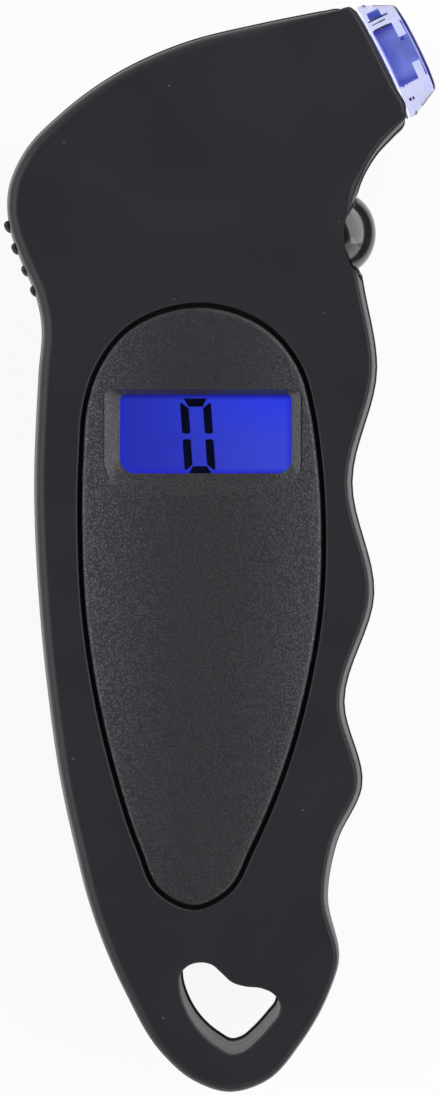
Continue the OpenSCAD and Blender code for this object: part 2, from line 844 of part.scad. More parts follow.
module battery_door() {
    color("gray")
    difference() {
        union() {
            box(cell_at[0] - door_wide / 2, cell_at[0] + door_wide / 2, door_low, door_high,
                0, door_thick);
            box(cell_at[0] - door_wide / 2 - tongue, cell_at[0] + door_wide / 2 + tongue,
                door_low, door_high, tongue_low, door_thick);
        }
        for (i = [0 : 3])
            translate([cell_at[0], door_low + 4 + 1.8 * i, 0])
                cube([12, 0.8, 1], center = true);
    }
}

module case_screws() {
    color("silver")
    for (i = [0 : len(screw_places) - 1])
        translate([screw_places[i][0], screw_places[i][1], screw_seats[i]])
            difference() {
                union() {
                    cylinder(r = screw_shank / 2, h = screw_high - screw_seats[i]);
                    translate([0, 0, -head_thick])
                        cylinder(r = screw_head / 2, h = head_thick);
                }
                translate([0, 0, -head_thick])
                    cube([2.4, 0.6, 1.4], center = true);
                translate([0, 0, -head_thick])
                    cube([0.6, 2.4, 1.4], center = true);
            }
}

module board_screws() {
    color("silver")
    for (p = board_places)
        translate([p[0], p[1], board_under])
            union() {
                translate([0, 0, -1])
                    cylinder(r = board_shank / 2 + 0.8, h = 1);
                translate([0, 0, -0.5])
                    cylinder(r = board_shank / 2, h = board_thick + 3.7);
            }
}

front_shell();
rear_shell();
face_panel();
display_lens();
lcd_panel();
lcd_frame();
backlight_guide();
backlight_leds();
zebra_strips();
circuit_board();
chip_blob();
timing_crystal();
board_parts();
pressure_sensor();
button_switch();
switch_plunger();
push_button();
nozzle();
valve_seal();
valve_pin();
air_fitting();
air_tube();
nozzle_led();
led_wires();
coin_cell();
positive_contact();
negative_contact();
battery_door();
case_screws();
board_screws();
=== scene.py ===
"""Looks of a digital tire pressure gauge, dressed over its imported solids."""
import math
from functools import partial

import bmesh
import bpy
from bpy.props import FloatProperty, FloatVectorProperty, PointerProperty
from mathutils import Matrix, Vector
from mathutils.geometry import interpolate_bezier


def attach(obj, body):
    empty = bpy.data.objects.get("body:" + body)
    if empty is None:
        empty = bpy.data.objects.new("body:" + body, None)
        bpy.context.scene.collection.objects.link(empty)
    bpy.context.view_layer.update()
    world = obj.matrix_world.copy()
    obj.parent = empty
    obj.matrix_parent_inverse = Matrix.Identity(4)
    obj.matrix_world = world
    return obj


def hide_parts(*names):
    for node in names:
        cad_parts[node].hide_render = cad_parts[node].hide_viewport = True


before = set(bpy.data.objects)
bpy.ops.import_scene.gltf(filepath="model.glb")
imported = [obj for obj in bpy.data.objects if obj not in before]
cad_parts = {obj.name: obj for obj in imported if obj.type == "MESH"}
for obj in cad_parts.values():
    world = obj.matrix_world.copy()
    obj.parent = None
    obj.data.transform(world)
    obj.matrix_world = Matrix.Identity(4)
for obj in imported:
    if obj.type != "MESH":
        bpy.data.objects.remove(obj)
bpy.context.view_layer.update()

bl_info = {
    "name": "Tire pressure gauge",
    "version": (1, 0, 0),
    "blender": (4, 5, 0),
    "location": "3D View > Sidebar > Gauge",
    "description": "Models and finishes a digital tire pressure gauge over its solids",
    "category": "Object",
}

# Meshes are modelled in millimetres and scaled to metres when a piece is finished.
MM = 0.001

# Casing outline, counter-clockwise from the top of the head
GRIP = (
    (5.4, 72.4), (-5.2, 69.7), (-14.2, 65.6), (-21.8, 60.1), (-27, 54.6), (-29.1, 49.7),
    (-29.1, 44.7), (-27.4, 39.5), (-25.4, 34.8), (-24.6, 30.7), (-25, 24.2), (-25.6, 7.8),
    (-25.1, -4.8), (-23.7, -19.8), (-21.8, -32.8), (-20, -41), (-18.1, -48.5), (-13.1, -60.9),
    (-8.2, -69.2), (-3.8, -73.1), (1.4, -74.8), (6.5, -73.3), (11.5, -67.8), (15.3, -60.9),
    (16.6, -56.8), (15.1, -47.6), (16.4, -40.3), (19.8, -32.8), (17.4, -21), (21.5, -6.2),
    (18.5, 9.2), (21.9, 25), (20, 36.7), (18.9, 43.7), (19.4, 49.4), (21.7, 53.9),
)
# Rounded end of the head, which closes the outline
HEAD_END = (
    (24.5, 57), (25.6, 58.2), (25.7, 59.5), (24, 63), (22.2, 66.6), (20.4, 70.2),
    (19.4, 72), (18.65, 73.15), (17.8, 73.95), (16.5, 74.45), (14.5, 74.2), (11, 73.55),
)
# Way on past the head end, for the hollow that stops behind it
RUN_ON = ((26, 58.7), (33, 63.5), (28, 76), (17.8, 74.7))
# Middle of the groove round the face panel, counter-clockwise from its right side
EGG = (
    (14.1, 2.5), (13.9, 7.9), (13.4, 13.3), (12.6, 18.7), (11.1, 24.1), (7, 29.5), (1.5, 32.3),
    (-2, 32.9), (-6.6, 32.4), (-12.6, 29.5), (-16.6, 24.1), (-18.2, 18.7), (-18.6, 13.3),
    (-18.8, 7.9), (-18.8, 2.5), (-18.3, -8.2), (-16.8, -19), (-14.3, -29.8), (-10.8, -40.6),
    (-8.3, -46), (-3.4, -48.4), (1.5, -46), (4.4, -40.6), (8.9, -29.8), (11.9, -19), (13.7, -8.2),
)
# Heart of the hang hole
HEART = (
    (-2.3, -55.8), (-4.1, -56.2), (-5.2, -57.3), (-5.3, -59.3), (-4.5, -62.1), (-2.7, -65),
    (-0.2, -67.2), (1.8, -68.2), (3.3, -67.8), (4.8, -66.6), (7, -64.2), (8, -62.9),
    (8.2, -61.4), (7.4, -60.1), (5.8, -59.3), (3.4, -59), (1.8, -58.5), (0.2, -57.1), (-1, -56.1),
)
# Casing screws with the heights of their seats, posts of the circuit board, and thumb nubs
SCREWS = ((-21, 50, 3.4), (12.2, 51.6, 3.4), (-12.8, -46, 6.1), (8.5, -46, 6.1))
POSTS = ((-15.4, 43.8), (11.2, 34), (-15.4, -29.8), (11.2, -29.8))
NUBS = ((-28.9, 44.1), (-27.9, 41.1), (-26.55, 38.1), (-25.35, 35.3))

# Heights of the parting plane, the front face, and the seat of the panel with its underside
SPLIT = 13.5
TOP = 27
SEAT = 25
ROOF = 23.4
# Walls of the casing and round the hang hole, and radius of the screw bosses
WALL = 2.2
HOLE_WALL = 2
BOSS = 2.4
# Heights above or below the parting plane at which a shell's wall is drawn
RISES = (1.5, 4, 6.5, 9, 11.2, 11.5, 11.9, 12.3, 12.65, 12.95, 13.15, 13.3, 13.4, 13.46, 13.5)
# How far the rims stand in from the outline
RIM_IN = 0.15
# Where the head goes over into the neck
NECK_Y = 54
# Tail end of the battery door, where the back starts to slope, and the top of the door's slot
DOOR_END = -37.5
LEDGE = 1.95

# Gap between solids that meet, how far a post sinks into its wall and a cutter reaches past it
SLACK = 0.02
SINK = 0.5
PAST = 1
# Vertices closer than this are one
MERGE = 0.0005

# Middle of the window
WINDOW = Vector((-1.6, 15.6))

# Frames of the nozzle and the button, whose Z runs outward along their lines
NOZZLE_AT = Vector((22.9, 67))
NOZZLE_TURN = math.radians(26.5)
NOZZLE_WAY = Vector((math.cos(NOZZLE_TURN), math.sin(NOZZLE_TURN)))
ALONG_X = Matrix.Rotation(math.radians(90), 4, "Y")
HEAD = Matrix.Translation((NOZZLE_AT.x, NOZZLE_AT.y, SPLIT)) @ Matrix.Rotation(NOZZLE_TURN, 4, "Z")
NOZZLE = HEAD @ ALONG_X
BUTTON_Y = 43.4
BUTTON = Matrix.Translation((0, BUTTON_Y, SPLIT)) @ ALONG_X

# Order of the nozzle's finishes: the clear tint, then painted glow, painted dark lines, painted
# highlights, a pale painted glow and a deep blue painted glow that also serves as painted shade
CLEAR, PAINTED_GLOW, PAINTED_DARK_LINE, PAINTED_HIGHLIGHT, PAINTED_PALE_GLOW, PAINTED_DEEP_BLUE = range(6)

# Width of the camera's sensor, its distance from the parting plane and the height it sees there
SENSOR = 36
FAR = 700
SEEN = 150.56

# Light and dark bands in one unit of a wave texture at a scale of 1
WAVE = 6.3

# What every colour that a user can change has in common
TINT = {"subtype": "COLOR", "size": 3, "min": 0, "max": 1}


def linear(hex_colour):
    """Linear colour of an sRGB hex value."""
    parts = [int(hex_colour[i:i + 2], 16) / 255 for i in (1, 3, 5)]
    return tuple(c / 12.92 if c <= 0.04045 else ((c + 0.055) / 1.055) ** 2.4 for c in parts)


def toned(colour, share):
    """A darker or lighter tone of a colour."""
    return [min(1, share * c) for c in colour]


def per(mm):
    """Texture scale at which one cell of a pattern is this wide."""
    return 1 / (mm * MM)


class CasingSizes(bpy.types.PropertyGroup):
    """Sizes of the two shells."""
    front_edge: FloatProperty(
        name="Front edge", description="How far the front edge rounding reaches in",
        default=1.55 * MM, unit="LENGTH")
    rear_edge: FloatProperty(
        name="Rear edge", description="How far the rear edge rounding reaches in",
        default=6 * MM, unit="LENGTH")
    seam_step: FloatProperty(
        name="Seam step", description="How far the front rim stands in from the rear rim",
        default=0.22 * MM, unit="LENGTH")
    seam_ease: FloatProperty(
        name="Seam ease", description="Rounding of both rims at the seam",
        default=0.14 * MM, unit="LENGTH")
    hole_edge: FloatProperty(
        name="Hole edge", description="Rounding round the front of the hang hole",
        default=0.3 * MM, unit="LENGTH")
    pocket_edge: FloatProperty(
        name="Pocket edge", description="Rounding of the edge round the face panel",
        default=0.3 * MM, unit="LENGTH")
    nub_size: FloatProperty(
        name="Nub size", description="Radius of the thumb nubs",
        default=0.6 * MM, unit="LENGTH")


class PanelSizes(bpy.types.PropertyGroup):
    """Sizes of the face panel and its sunken bezel."""
    groove: FloatProperty(
        name="Groove", description="Groove left open round the panel",
        default=0.6 * MM, unit="LENGTH")
    edge: FloatProperty(
        name="Edge", description="Rounding of the panel's outer edge",
        default=0.45 * MM, unit="LENGTH")
    crown: FloatProperty(
        name="Crown", description="How far the middle stands above the edge",
        default=0.6 * MM, unit="LENGTH")
    bezel_foot: FloatProperty(
        name="Bezel foot", description="Height of the lower end of the bezel's slopes",
        default=25.4 * MM, unit="LENGTH")


class DisplaySizes(bpy.types.PropertyGroup):
    """Sizes of the seven-segment digit."""
    digit_width: FloatProperty(
        name="Digit width", description="Width across the digit", default=4.2 * MM, unit="LENGTH")
    digit_height: FloatProperty(
        name="Digit height", description="Height of the digit", default=10.3 * MM, unit="LENGTH")
    stroke: FloatProperty(
        name="Stroke", description="Width of one segment", default=1.12 * MM, unit="LENGTH")
    gap: FloatProperty(
        name="Gap", description="Gap between segments", default=0.33 * MM, unit="LENGTH")


class Finishes(bpy.types.PropertyGroup):
    """Colours of the visible surfaces."""
    casing: FloatVectorProperty(
        name="Casing", description="Painted shells", default=linear("#252429"), **TINT)
    panel: FloatVectorProperty(
        name="Face panel", description="Grained panel", default=linear("#323136"), **TINT)
    button: FloatVectorProperty(
        name="Button", description="Polished button", default=linear("#0b0b0d"), **TINT)
    display_dim: FloatVectorProperty(
        name="Display, dim side", description="Backlight far from its lamps",
        default=linear("#2831aa"), **TINT)
    display_bright: FloatVectorProperty(
        name="Display, bright side", description="Backlight near its lamps",
        default=linear("#3c47cc"), **TINT)
    segment: FloatVectorProperty(
        name="Segments", description="Dark segments of the digit", default=linear("#101430"), **TINT)
    nozzle: FloatVectorProperty(
        name="Nozzle", description="Tint of the clear nozzle", default=linear("#dcdefa"), **TINT)
    # Colour of the painted glow on the nozzle's bore
    bore: FloatVectorProperty(
        name="Lit bore", description="Bore of the nozzle, lit from inside",
        default=linear("#7280c4"), **TINT)


def add(tree, kind, inputs, **settings):
    """Adds a shader node, sets it up, and fills its sockets with values or links. A list fills
    them in their order, such as a value, the two ends that it runs between and those that it is
    mapped to. A node stands for its first output that is in use."""
    node = tree.nodes.new("ShaderNode" + kind)
    for name, value in settings.items():
        setattr(node, name, value)
    for key, value in inputs.items() if isinstance(inputs, dict) else enumerate(inputs):
        socket = node.inputs[key]
        if isinstance(value, bpy.types.Node):
            value = next(out for out in value.outputs if out.enabled)
        if isinstance(value, bpy.types.NodeSocket):
            tree.links.new(value, socket)
        else:
            socket.default_value = (*value, 1) if socket.type == "RGBA" else value
    return node


def new_material(name):
    """An empty material, the function that adds to it, and its Object coordinates."""
    material = bpy.data.materials.new(name)
    material.use_nodes = True
    tree = material.node_tree
    tree.nodes.clear()
    return material, partial(add, tree), add(tree, "TexCoord", []).outputs["Object"]


def ended(material, inputs):
    """Ends a material in one principled shader."""
    shader = add(material.node_tree, "BsdfPrincipled", inputs)
    add(material.node_tree, "OutputMaterial", {"Surface": shader})
    return material


def noise(node, place, wide, detail):
    """A noise whose cells have the given width in millimetres."""
    return node("TexNoise", {"Vector": place, "Scale": per(wide), "Detail": detail})


def mixed(node, factor, first, second, **settings):
    """A colour that goes from one to another with a factor."""
    return node("Mix", {"Factor": factor, "A": first, "B": second}, data_type="RGBA", **settings)


def clouded(node, place, colour, wide, detail, dark, pale):
    """A cloudy noise of the given width, and a colour whose tone changes with it."""
    cloud = noise(node, place, wide, detail)
    return cloud, mixed(node, cloud, toned(colour, dark), toned(colour, pale))


def soft_touch_abs(colour):
    """Moulded ABS under a matt soft-touch coat: a deep even black, a fine orange-peel
    surface that breaks the sheen, slightly lighter worn patches and a little dust."""
    material, node, place = new_material("abs_soft_touch_black")
    peel = noise(node, place, 0.5, 3)
    cloud, tone = clouded(node, place, colour, 14, 2, 0.82, 1.18)
    rough = node("MapRange", [cloud, 0, 1, 0.4, 0.52])
    dust = node("TexVoronoi", {"Vector": place, "Scale": per(4.5), "Randomness": 1})
    speck = node("MapRange", [dust, 0.024, 0.04, 0.55, 0])
    dusty = mixed(node, speck, tone, linear("#6c6c6e"))
    bump = node("Bump", {"Strength": 0.5, "Distance": 0.012 * MM, "Height": peel})
    return ended(material, {
        "Base Color": dusty, "Roughness": rough, "IOR": 1.5, "Specular IOR Level": 0.32,
        "Normal": bump,
    })


def grained_abs(colour):
    """ABS moulded in a grained tool: a leather-like pebble about a third of a millimetre
    wide, with a painted highlight on its tops and painted shade in its pits. It is smoother at
    the top middle, and painted paler toward both sides as side light, with painted glints."""
    material, node, place = new_material("abs_leather_grain_black")
    warp = noise(node, place, 1.2, 2)
    shifted = node("VectorMath", [
        warp.outputs["Color"], (0.3 * MM, 0.3 * MM, 0.3 * MM), place,
    ], operation="MULTIPLY_ADD")
    pebble = node("TexVoronoi", {
        "Vector": shifted, "Scale": per(0.3), "Smoothness": 0.3,
    }, feature="SMOOTH_F1")
    crisp = node("MapRange", [pebble, 0.12, 0.5])
    fine = noise(node, place, 0.16, 2)
    grain = node("Mix", {"Factor": 0.35, "A": pebble, "B": fine})
    to_top = node("VectorMath", [place, (-2 * MM, 27 * MM, TOP * MM)], operation="DISTANCE")
    strength = node("MapRange", [to_top, 6 * MM, 16 * MM, 0.45, 1])
    bump = node("Bump", {"Strength": strength, "Distance": 0.09 * MM, "Height": grain})
    # Painted side light: the tone grows paler toward both sides
    axes = node("SeparateXYZ", [place])
    aside = node("Math", [axes.outputs["X"], 1.2 * MM], operation="ADD")
    reach = node("Math", [aside], operation="ABSOLUTE")
    side = node("MapRange", [reach, 3 * MM, 17 * MM])
    painted_side_light = node("Math", [side, 1.6], operation="POWER")
    # Painted highlight on the pebble tops and painted shade in the pits, much stronger toward the
    # sides
    middle, flank = [
        mixed(node, crisp, toned(colour, crest), toned(colour, pit))
        for crest, pit in ((1.25, 0.7), (4.2, 1.1))
    ]
    tone = mixed(node, painted_side_light, middle, flank)
    # Painted glints: pale grey spots that grow toward the sides
    glint_cells = node("TexVoronoi", {"Vector": place, "Scale": per(0.9), "Randomness": 1})
    glint = node("MapRange", [glint_cells, 0.06, 0.15, 0.6, 0])
    side_glint_reach = node("MapRange", [painted_side_light, 0, 1, 0.3, 1])
    shine = node("Math", [glint, side_glint_reach], operation="MULTIPLY")
    bright = mixed(node, shine, tone, linear("#707074"))
    return ended(material, {
        "Base Color": bright, "Roughness": 0.42, "IOR": 1.5, "Specular IOR Level": 0.45,
        "Normal": bump,
    })


def polished_abs(colour):
    """Polished black ABS: a mirror-like skin with faint finger haze and fine scuffs."""
    material, node, place = new_material("abs_polished_black")
    haze, tone = clouded(node, place, colour, 2.2, 4, 1, 1.8)
    rough = node("MapRange", [haze, 0.35, 0.7, 0.06, 0.2])
    return ended(material, {"Base Color": tone, "Roughness": rough, "IOR": 1.85})


def clear_acrylic():
    """Polished acrylic window: clear, with the faintest haze."""
    material, node, place = new_material("acrylic_polished_clear")
    haze = noise(node, place, 6, 2)
    rough = node("MapRange", [haze, 0, 1, 0.01, 0.04])
    return ended(material, {
        "Base Color": linear("#f4f6ff"), "Roughness": rough, "IOR": 1.49, "Transmission Weight": 1,
    })


def backlit_display(dim, bright):
    """Display glass over a blue edge-lit guide: brighter toward the lamps on one side,
    more saturated along its borders, with a soft shadow under the top of the bezel."""
    material, node, place = new_material("display_glass_backlit_blue")
    axes = node("SeparateXYZ", [place]).outputs
    across = node("MapRange", [axes["X"], -13.5 * MM, 10.5 * MM], interpolation_type="SMOOTHSTEP")
    tone = mixed(node, across, dim, bright)
    raised = node("MapRange", [axes["Y"], 14 * MM, 20.5 * MM, 0, 0.7])
    corner = node("Math", [across, raised], operation="MULTIPLY")
    centred = node("VectorMath", [place, (-1.8 * MM, 15.6 * MM, 0)], operation="SUBTRACT")
    reach = node("VectorMath", [centred], operation="ABSOLUTE")
    sides = node("SeparateXYZ", [reach]).outputs
    near_side = node("MapRange", [sides["X"], 10.8 * MM, 11.8 * MM])
    near_end = node("MapRange", [sides["Y"], 4.6 * MM, 5.4 * MM])
    border = node("Math", [near_side, near_end], operation="MAXIMUM")
    shade = node("MapRange", [axes["Y"], 20.2 * MM, 21 * MM, 0, 0.75])
    for factor, over in ((corner, "#2638e6"), (border, "#2226c6"), (shade, "#12143c")):
        tone = mixed(node, factor, tone, linear(over))
    mottle = noise(node, place, 1.4, 3)
    lively = mixed(node, 0.08, tone, mottle.outputs["Color"], blend_type="OVERLAY")
    return ended(material, {
        "Base Color": linear("#06071a"), "Roughness": 0.6, "Specular IOR Level": 0,
        "Emission Color": lively, "Emission Strength": 1.12,
    })


def display_ink(colour):
    """Switched display segments: near black with a trace of the blue behind them."""
    material, node, place = new_material("display_segment_dark")
    _, tone = clouded(node, place, colour, 0.8, 2, 1, 1.7)
    return ended(material, {"Base Color": tone, "Roughness": 0.6, "Specular IOR Level": 0})


def tinted_polycarbonate(colour):
    """Moulded polycarbonate with a violet tint: clear, with faint flow lines in it."""
    material, node, place = new_material("polycarbonate_moulded_violet")
    flow = node("TexNoise", {"Vector": place, "Scale": per(3), "Detail": 3, "Distortion": 1.5})
    tone = mixed(node, flow, colour, (0.82 * colour[0], 0.83 * colour[1], colour[2]))
    bump = node("Bump", {"Strength": 0.35, "Distance": 0.05 * MM, "Height": flow})
    return ended(material, {
        "Base Color": tone, "Roughness": 0.06, "IOR": 1.13, "Transmission Weight": 1,
        "Normal": bump,
    })


def lit_polycarbonate(colour):
    """Frosted bore of the same moulding, with a painted blue glow for the lamp behind it: palest
    along its middle, painted navy shade where it curves away on both sides and deeper blue near the
    casing."""
    material, node, place = new_material("polycarbonate_bore_frosted_painted_glow")
    x, y = NOZZLE_WAY
    start = node("VectorMath", [
        place, (NOZZLE_AT.x * MM, NOZZLE_AT.y * MM, 0),
    ], operation="SUBTRACT")
    across, along_bore = [
        node("VectorMath", [start, way], operation="DOT_PRODUCT") for way in ((-y, x, 0), (x, y, 0))
    ]
    # Painted shade: navy where the bore curves away on both sides
    reach = node("Math", [across], operation="ABSOLUTE")
    flank = node("MapRange", [reach, 2.4 * MM, 3.9 * MM])
    base = node("MapRange", [along_bore, 0.3 * MM, 1.6 * MM, 0.55, 0])
    _, tone = clouded(node, place, colour, 1.6, 4, 0.65, 1.3)
    for factor, over in ((base, "#4044b4"), (flank, "#2a2f94")):
        tone = mixed(node, factor, tone, linear(over))
    # The bore glows in its own tone, a painted glow
    return ended(material, {
        "Base Color": tone, "Roughness": 0.35, "IOR": 1.5,
        "Emission Color": tone, "Emission Strength": 0.4,
    })


def plain_moulding(name, hex_colour, rough, grain, emission=0):
    """Moulded plastic, rubber, ceramic or resin: a fine tool grain of the given width, a
    little cloudiness in its colour and an even sheen."""
    material, node, place = new_material(name)
    colour = linear(hex_colour)
    _, tone = clouded(node, place, colour, 5, 2, 0.85, 1.12)
    tool = noise(node, place, grain, 2)
    sheen = node("MapRange", [tool, 0, 1, 0.85 * rough, min(1, 1.15 * rough)])
    bump = node("Bump", {"Strength": 0.4, "Distance": 0.02 * MM, "Height": tool})
    glow = {"Emission Color": colour, "Emission Strength": emission} if emission else {}
    return ended(material, {
        "Base Color": tone, "Roughness": sheen, "IOR": 1.5, "Normal": bump, **glow,
    })


def worked_metal(name, hex_colour, rough, pitch):
    """Turned, drawn or plated metal: fine lines of the given pitch in its polish, and a
    slow change of tone where it has been handled."""
    material, node, place = new_material(name)
    _, tone = clouded(node, place, linear(hex_colour), 4, 2, 0.85, 1.1)
    lines = node("TexWave", {
        "Vector": place, "Scale": per(pitch) / WAVE, "Distortion": 2, "Detail": 2,
    }, bands_direction="DIAGONAL").outputs["Fac"]
    sheen = node("MapRange", [lines, 0, 1, 0.8 * rough, 1.2 * rough])
    bump = node("Bump", {"Strength": 0.2, "Distance": 0.01 * MM, "Height": lines})
    return ended(material, {
        "Base Color": tone, "Metallic": 1, "Roughness": sheen, "Normal": bump,
    })


def solder_mask():
    """Glass-fibre board under green solder mask: copper runs show as lighter bands."""
    material, node, place = new_material("fr4_green_solder_mask")
    runs = node("TexBrick", {
        "Vector": place, "Color1": linear("#0e5a2c"), "Color2": linear("#11632f"),
        "Mortar": linear("#1d7d40"), "Scale": per(6), "Mortar Size": 0.03,
    })
    return ended(material, {"Base Color": runs, "Roughness": 0.3, "IOR": 1.5})


def layered_rubber():
    """Contact strip of silicone rubber: thin dark carbon layers between pink ones."""
    material, node, place = new_material("silicone_rubber_layered")
    layers = node("TexWave", {"Vector": place, "Scale": per(0.4) / WAVE}, bands_direction="X")
    tone = mixed(node, layers.outputs["Fac"], linear("#d98d93"), linear("#26201f"))
    return ended(material, {"Base Color": tone, "Roughness": 0.6})


def paper_floor():
    """White paper with a trace of fibre: matt and almost plain white to the camera, and metal
    and glass show that white too. It lies on a grey table and ends close to the gauge on the
    right."""
    material, node, place = new_material("paper_white")
    fibre = noise(node, place, 0.6, 2)
    sheet = mixed(node, fibre, linear("#f4f4f4"), linear("#fcfcfc"))
    # Half the sheet's width and length, and how far it lies to the left
    wide, long, left = 62, 150, 30
    spread = node("VectorMath", [
        place, (per(wide), per(long), 0), (left / wide, 0, 0),
    ], operation="MULTIPLY_ADD")
    off = node("VectorMath", [spread], operation="LENGTH")
    beside = node("MapRange", [off, 1, 1.25, 1, 0])
    path = node("LightPath", []).outputs
    pale = node("Math", [path["Is Camera Ray"], beside], operation="MAXIMUM")
    tone = mixed(node, pale, linear("#606060"), sheet)
    matt = node("BsdfDiffuse", {"Color": tone})
    white = node("Emission", {"Color": (1, 1, 1), "Strength": 1})
    # The camera sees a little of the matt paper, which holds the shadow
    seen = node("Math", [path["Is Camera Ray"], 0.9], operation="MULTIPLY")
    mirrored = node("Math", [path["Is Glossy Ray"], beside], operation="MULTIPLY")
    through = node("Math", [mirrored, path["Is Transmission Ray"]], operation="MAXIMUM")
    share = node("Math", [through, 0.975, seen], operation="MULTIPLY_ADD")
    both = node("MixShader", [share, matt, white])
    node("OutputMaterial", {"Surface": both})
    return material


def studio_world():
    """Soft room light that is brightest near the floor, with white all round for the camera and
    for what clear pieces show of the lower part."""
    world = bpy.data.worlds.new("studio")
    world.use_nodes = True
    world.node_tree.nodes.clear()
    node = partial(add, world.node_tree)
    height = node("SeparateXYZ", [node("TexCoord", []).outputs["Generated"]]).outputs["Z"]
    fade = node("MapRange", [height, 0, 0.75, 1, 0.12], interpolation_type="SMOOTHSTEP")
    overhead = node("MapRange", [height, 0.93, 0.99, 1, 0.15])
    level = node("Math", [fade, overhead], operation="MULTIPLY")
    room = node("Background", {"Color": (1, 1, 1), "Strength": level})
    white = node("Background", {"Color": (1, 1, 1), "Strength": 1})
    path = node("LightPath", []).outputs
    low = node("MapRange", [height, 0.3, 0.6, 1, 0])
    through = node("Math", [path["Is Transmission Ray"], low], operation="MULTIPLY")
    seen = node("Math", [path["Is Camera Ray"], through], operation="MAXIMUM")
    both = node("MixShader", [seen, room, white])
    node("OutputWorld", {"Surface": both})
    return world


def smooth(knots, steps):
    """Closed curve through the knots, with the same tangents as the solids' outline."""
    points = [Vector(k).to_3d() for k in knots]
    count = len(points)
    lean = []
    for i, b in enumerate(points):
        back = b - points[i - 1]
        on = points[(i + 1) % count] - b
        u, v = back.length, on.length
        lean.append((back / u * v + on / v * u) / (u + v))
    curve = []
    for i, b in enumerate(points):
        c = points[(i + 1) % count]
        third = (c - b).length / 3
        span = interpolate_bezier(
            b, b + lean[i] * third, c - lean[(i + 1) % count] * third, c, steps + 1)
        curve += [p.to_2d() for p in span[:-1]]
    return curve


def outward(curve):
    """Outward direction at each point of a counter-clockwise curve."""
    ways = []
    for i in range(len(curve)):
        way = curve[(i + 1) % len(curve)] - curve[i - 1]
        ways.append(Vector((way.y, -way.x)).normalized())
    return ways


def grown(curve, by):
    """The curve moved outward."""
    return [p + by * n for p, n in zip(curve, outward(curve))]


def lifted(curve, height):
    """The curve as a level loop in space."""
    return [Vector((p.x, p.y, height)) for p in curve]


def quarter(radius, turns):
    """How far in and how far down a rounded edge lies at each turn, in degrees."""
    angles = [math.radians(turn) for turn in turns]
    return [(radius * (1 - math.sin(a)), radius * (1 - math.cos(a))) for a in angles]


def unit(value):
    """A value held between 0 and 1."""
    return max(0, min(1, value))


def near_button(p):
    """How near a point of the outline is to the button, from 0 to 1."""
    return math.exp(-((p.y - BUTTON_Y) / 7) ** 2) if p.x > 0 else 0


def kept(p, start, way, least):
    """Share of an inset that is kept, which falls off along the nozzle's line."""
    u = (p - NOZZLE_AT).dot(NOZZLE_WAY)
    return max(least, min(1, 1 - (1 - least) * (u - start) / way))


def first_loop(bm, places):
    """A closed loop of edges through the places."""
    loop = [bm.verts.new(p) for p in places]
    for i, vert in enumerate(loop):
        bm.edges.new((loop[i - 1], vert))
    return loop


def loop_edges(bm, loop):
    """The edges along a closed loop of vertices."""
    return [bm.edges.get((loop[i - 1], vert)) for i, vert in enumerate(loop)]


def next_loop(bm, loop, places):
    """Extrudes a closed loop and moves the new one to the places."""
    order = {tuple(v.co): i for i, v in enumerate(loop)}
    made = bmesh.ops.extrude_edge_only(bm, edges=loop_edges(bm, loop))["geom"]
    new = [None] * len(loop)
    for item in made:
        if isinstance(item, bmesh.types.BMVert):
            new[order[tuple(item.co)]] = item
    for vert, place in zip(new, places):
        vert.co = place
    return new


def stacked(loops):
    """A closed solid that is extruded from loop to loop and filled at both ends."""
    bm = bmesh.new()
    start = end = first_loop(bm, loops[0])
    for places in loops[1:]:
        end = next_loop(bm, end, places)
    for loop in (start, end):
        bmesh.ops.edgeloop_fill(bm, edges=loop_edges(bm, loop))
    bmesh.ops.recalc_face_normals(bm, faces=bm.faces)
    return bm


def block(low, high, ease=0):
    """A box between two corners, with its edges rounded where an ease is given."""
    low, high = Vector(low), Vector(high)
    bm = bmesh.new()
    bmesh.ops.create_cube(bm, size=1)
    bmesh.ops.scale(bm, vec=high - low, verts=bm.verts)
    bmesh.ops.translate(bm, vec=(low + high) / 2, verts=bm.verts)
    if ease:
        bmesh.ops.bevel(
            bm, geom=bm.edges[:], offset=ease, affect="EDGES", segments=3, profile=0.5, material=-1)
    return bm


def rod(radius, low, high, place, sides=48):
    """A round bar along the Z line of its place."""
    bm = bmesh.new()
    bmesh.ops.create_cone(
        bm, cap_ends=True, segments=sides, radius1=radius, radius2=radius, depth=high - low,
        matrix=place @ Matrix.Translation((0, 0, (low + high) / 2)))
    return bm


def upright(x, y):
    """Place of a bar that stands at a spot."""
    return Matrix.Translation((x, y, 0))


def rods(spots, radius, low, high, sides=48):
    """Upright bars at several spots."""
    return [rod(radius, low, high, upright(*spot[:2]), sides) for spot in spots]


def turned(profile, place, steps=96):
    """A closed solid spun from (radius, height) points about the Z line of its place."""
    bm = bmesh.new()
    verts = [bm.verts.new((r, 0, h)) for r, h in profile]
    edges = [bm.edges.new(pair) for pair in zip(verts, verts[1:])]
    if profile[0][0] > 0:
        edges.append(bm.edges.new((verts[-1], verts[0])))
    bmesh.ops.spin(
        bm, geom=verts + edges, cent=(0, 0, 0), axis=(0, 0, 1), angle=math.tau, steps=steps,
        use_merge=True)
    bmesh.ops.remove_doubles(bm, verts=bm.verts, dist=MERGE)
    bmesh.ops.recalc_face_normals(bm, faces=bm.faces)
    bmesh.ops.transform(bm, matrix=place, verts=bm.verts)
    return bm


def meshed(name, bm):
    """A mesh made from a bmesh, which is then freed."""
    mesh = bpy.data.meshes.new(name)
    bm.to_mesh(mesh)
    bm.free()
    return mesh


def linked(name, data):
    """An object of the scene with the given data."""
    item = bpy.data.objects.new(name, data)
    bpy.context.scene.collection.objects.link(item)
    return item


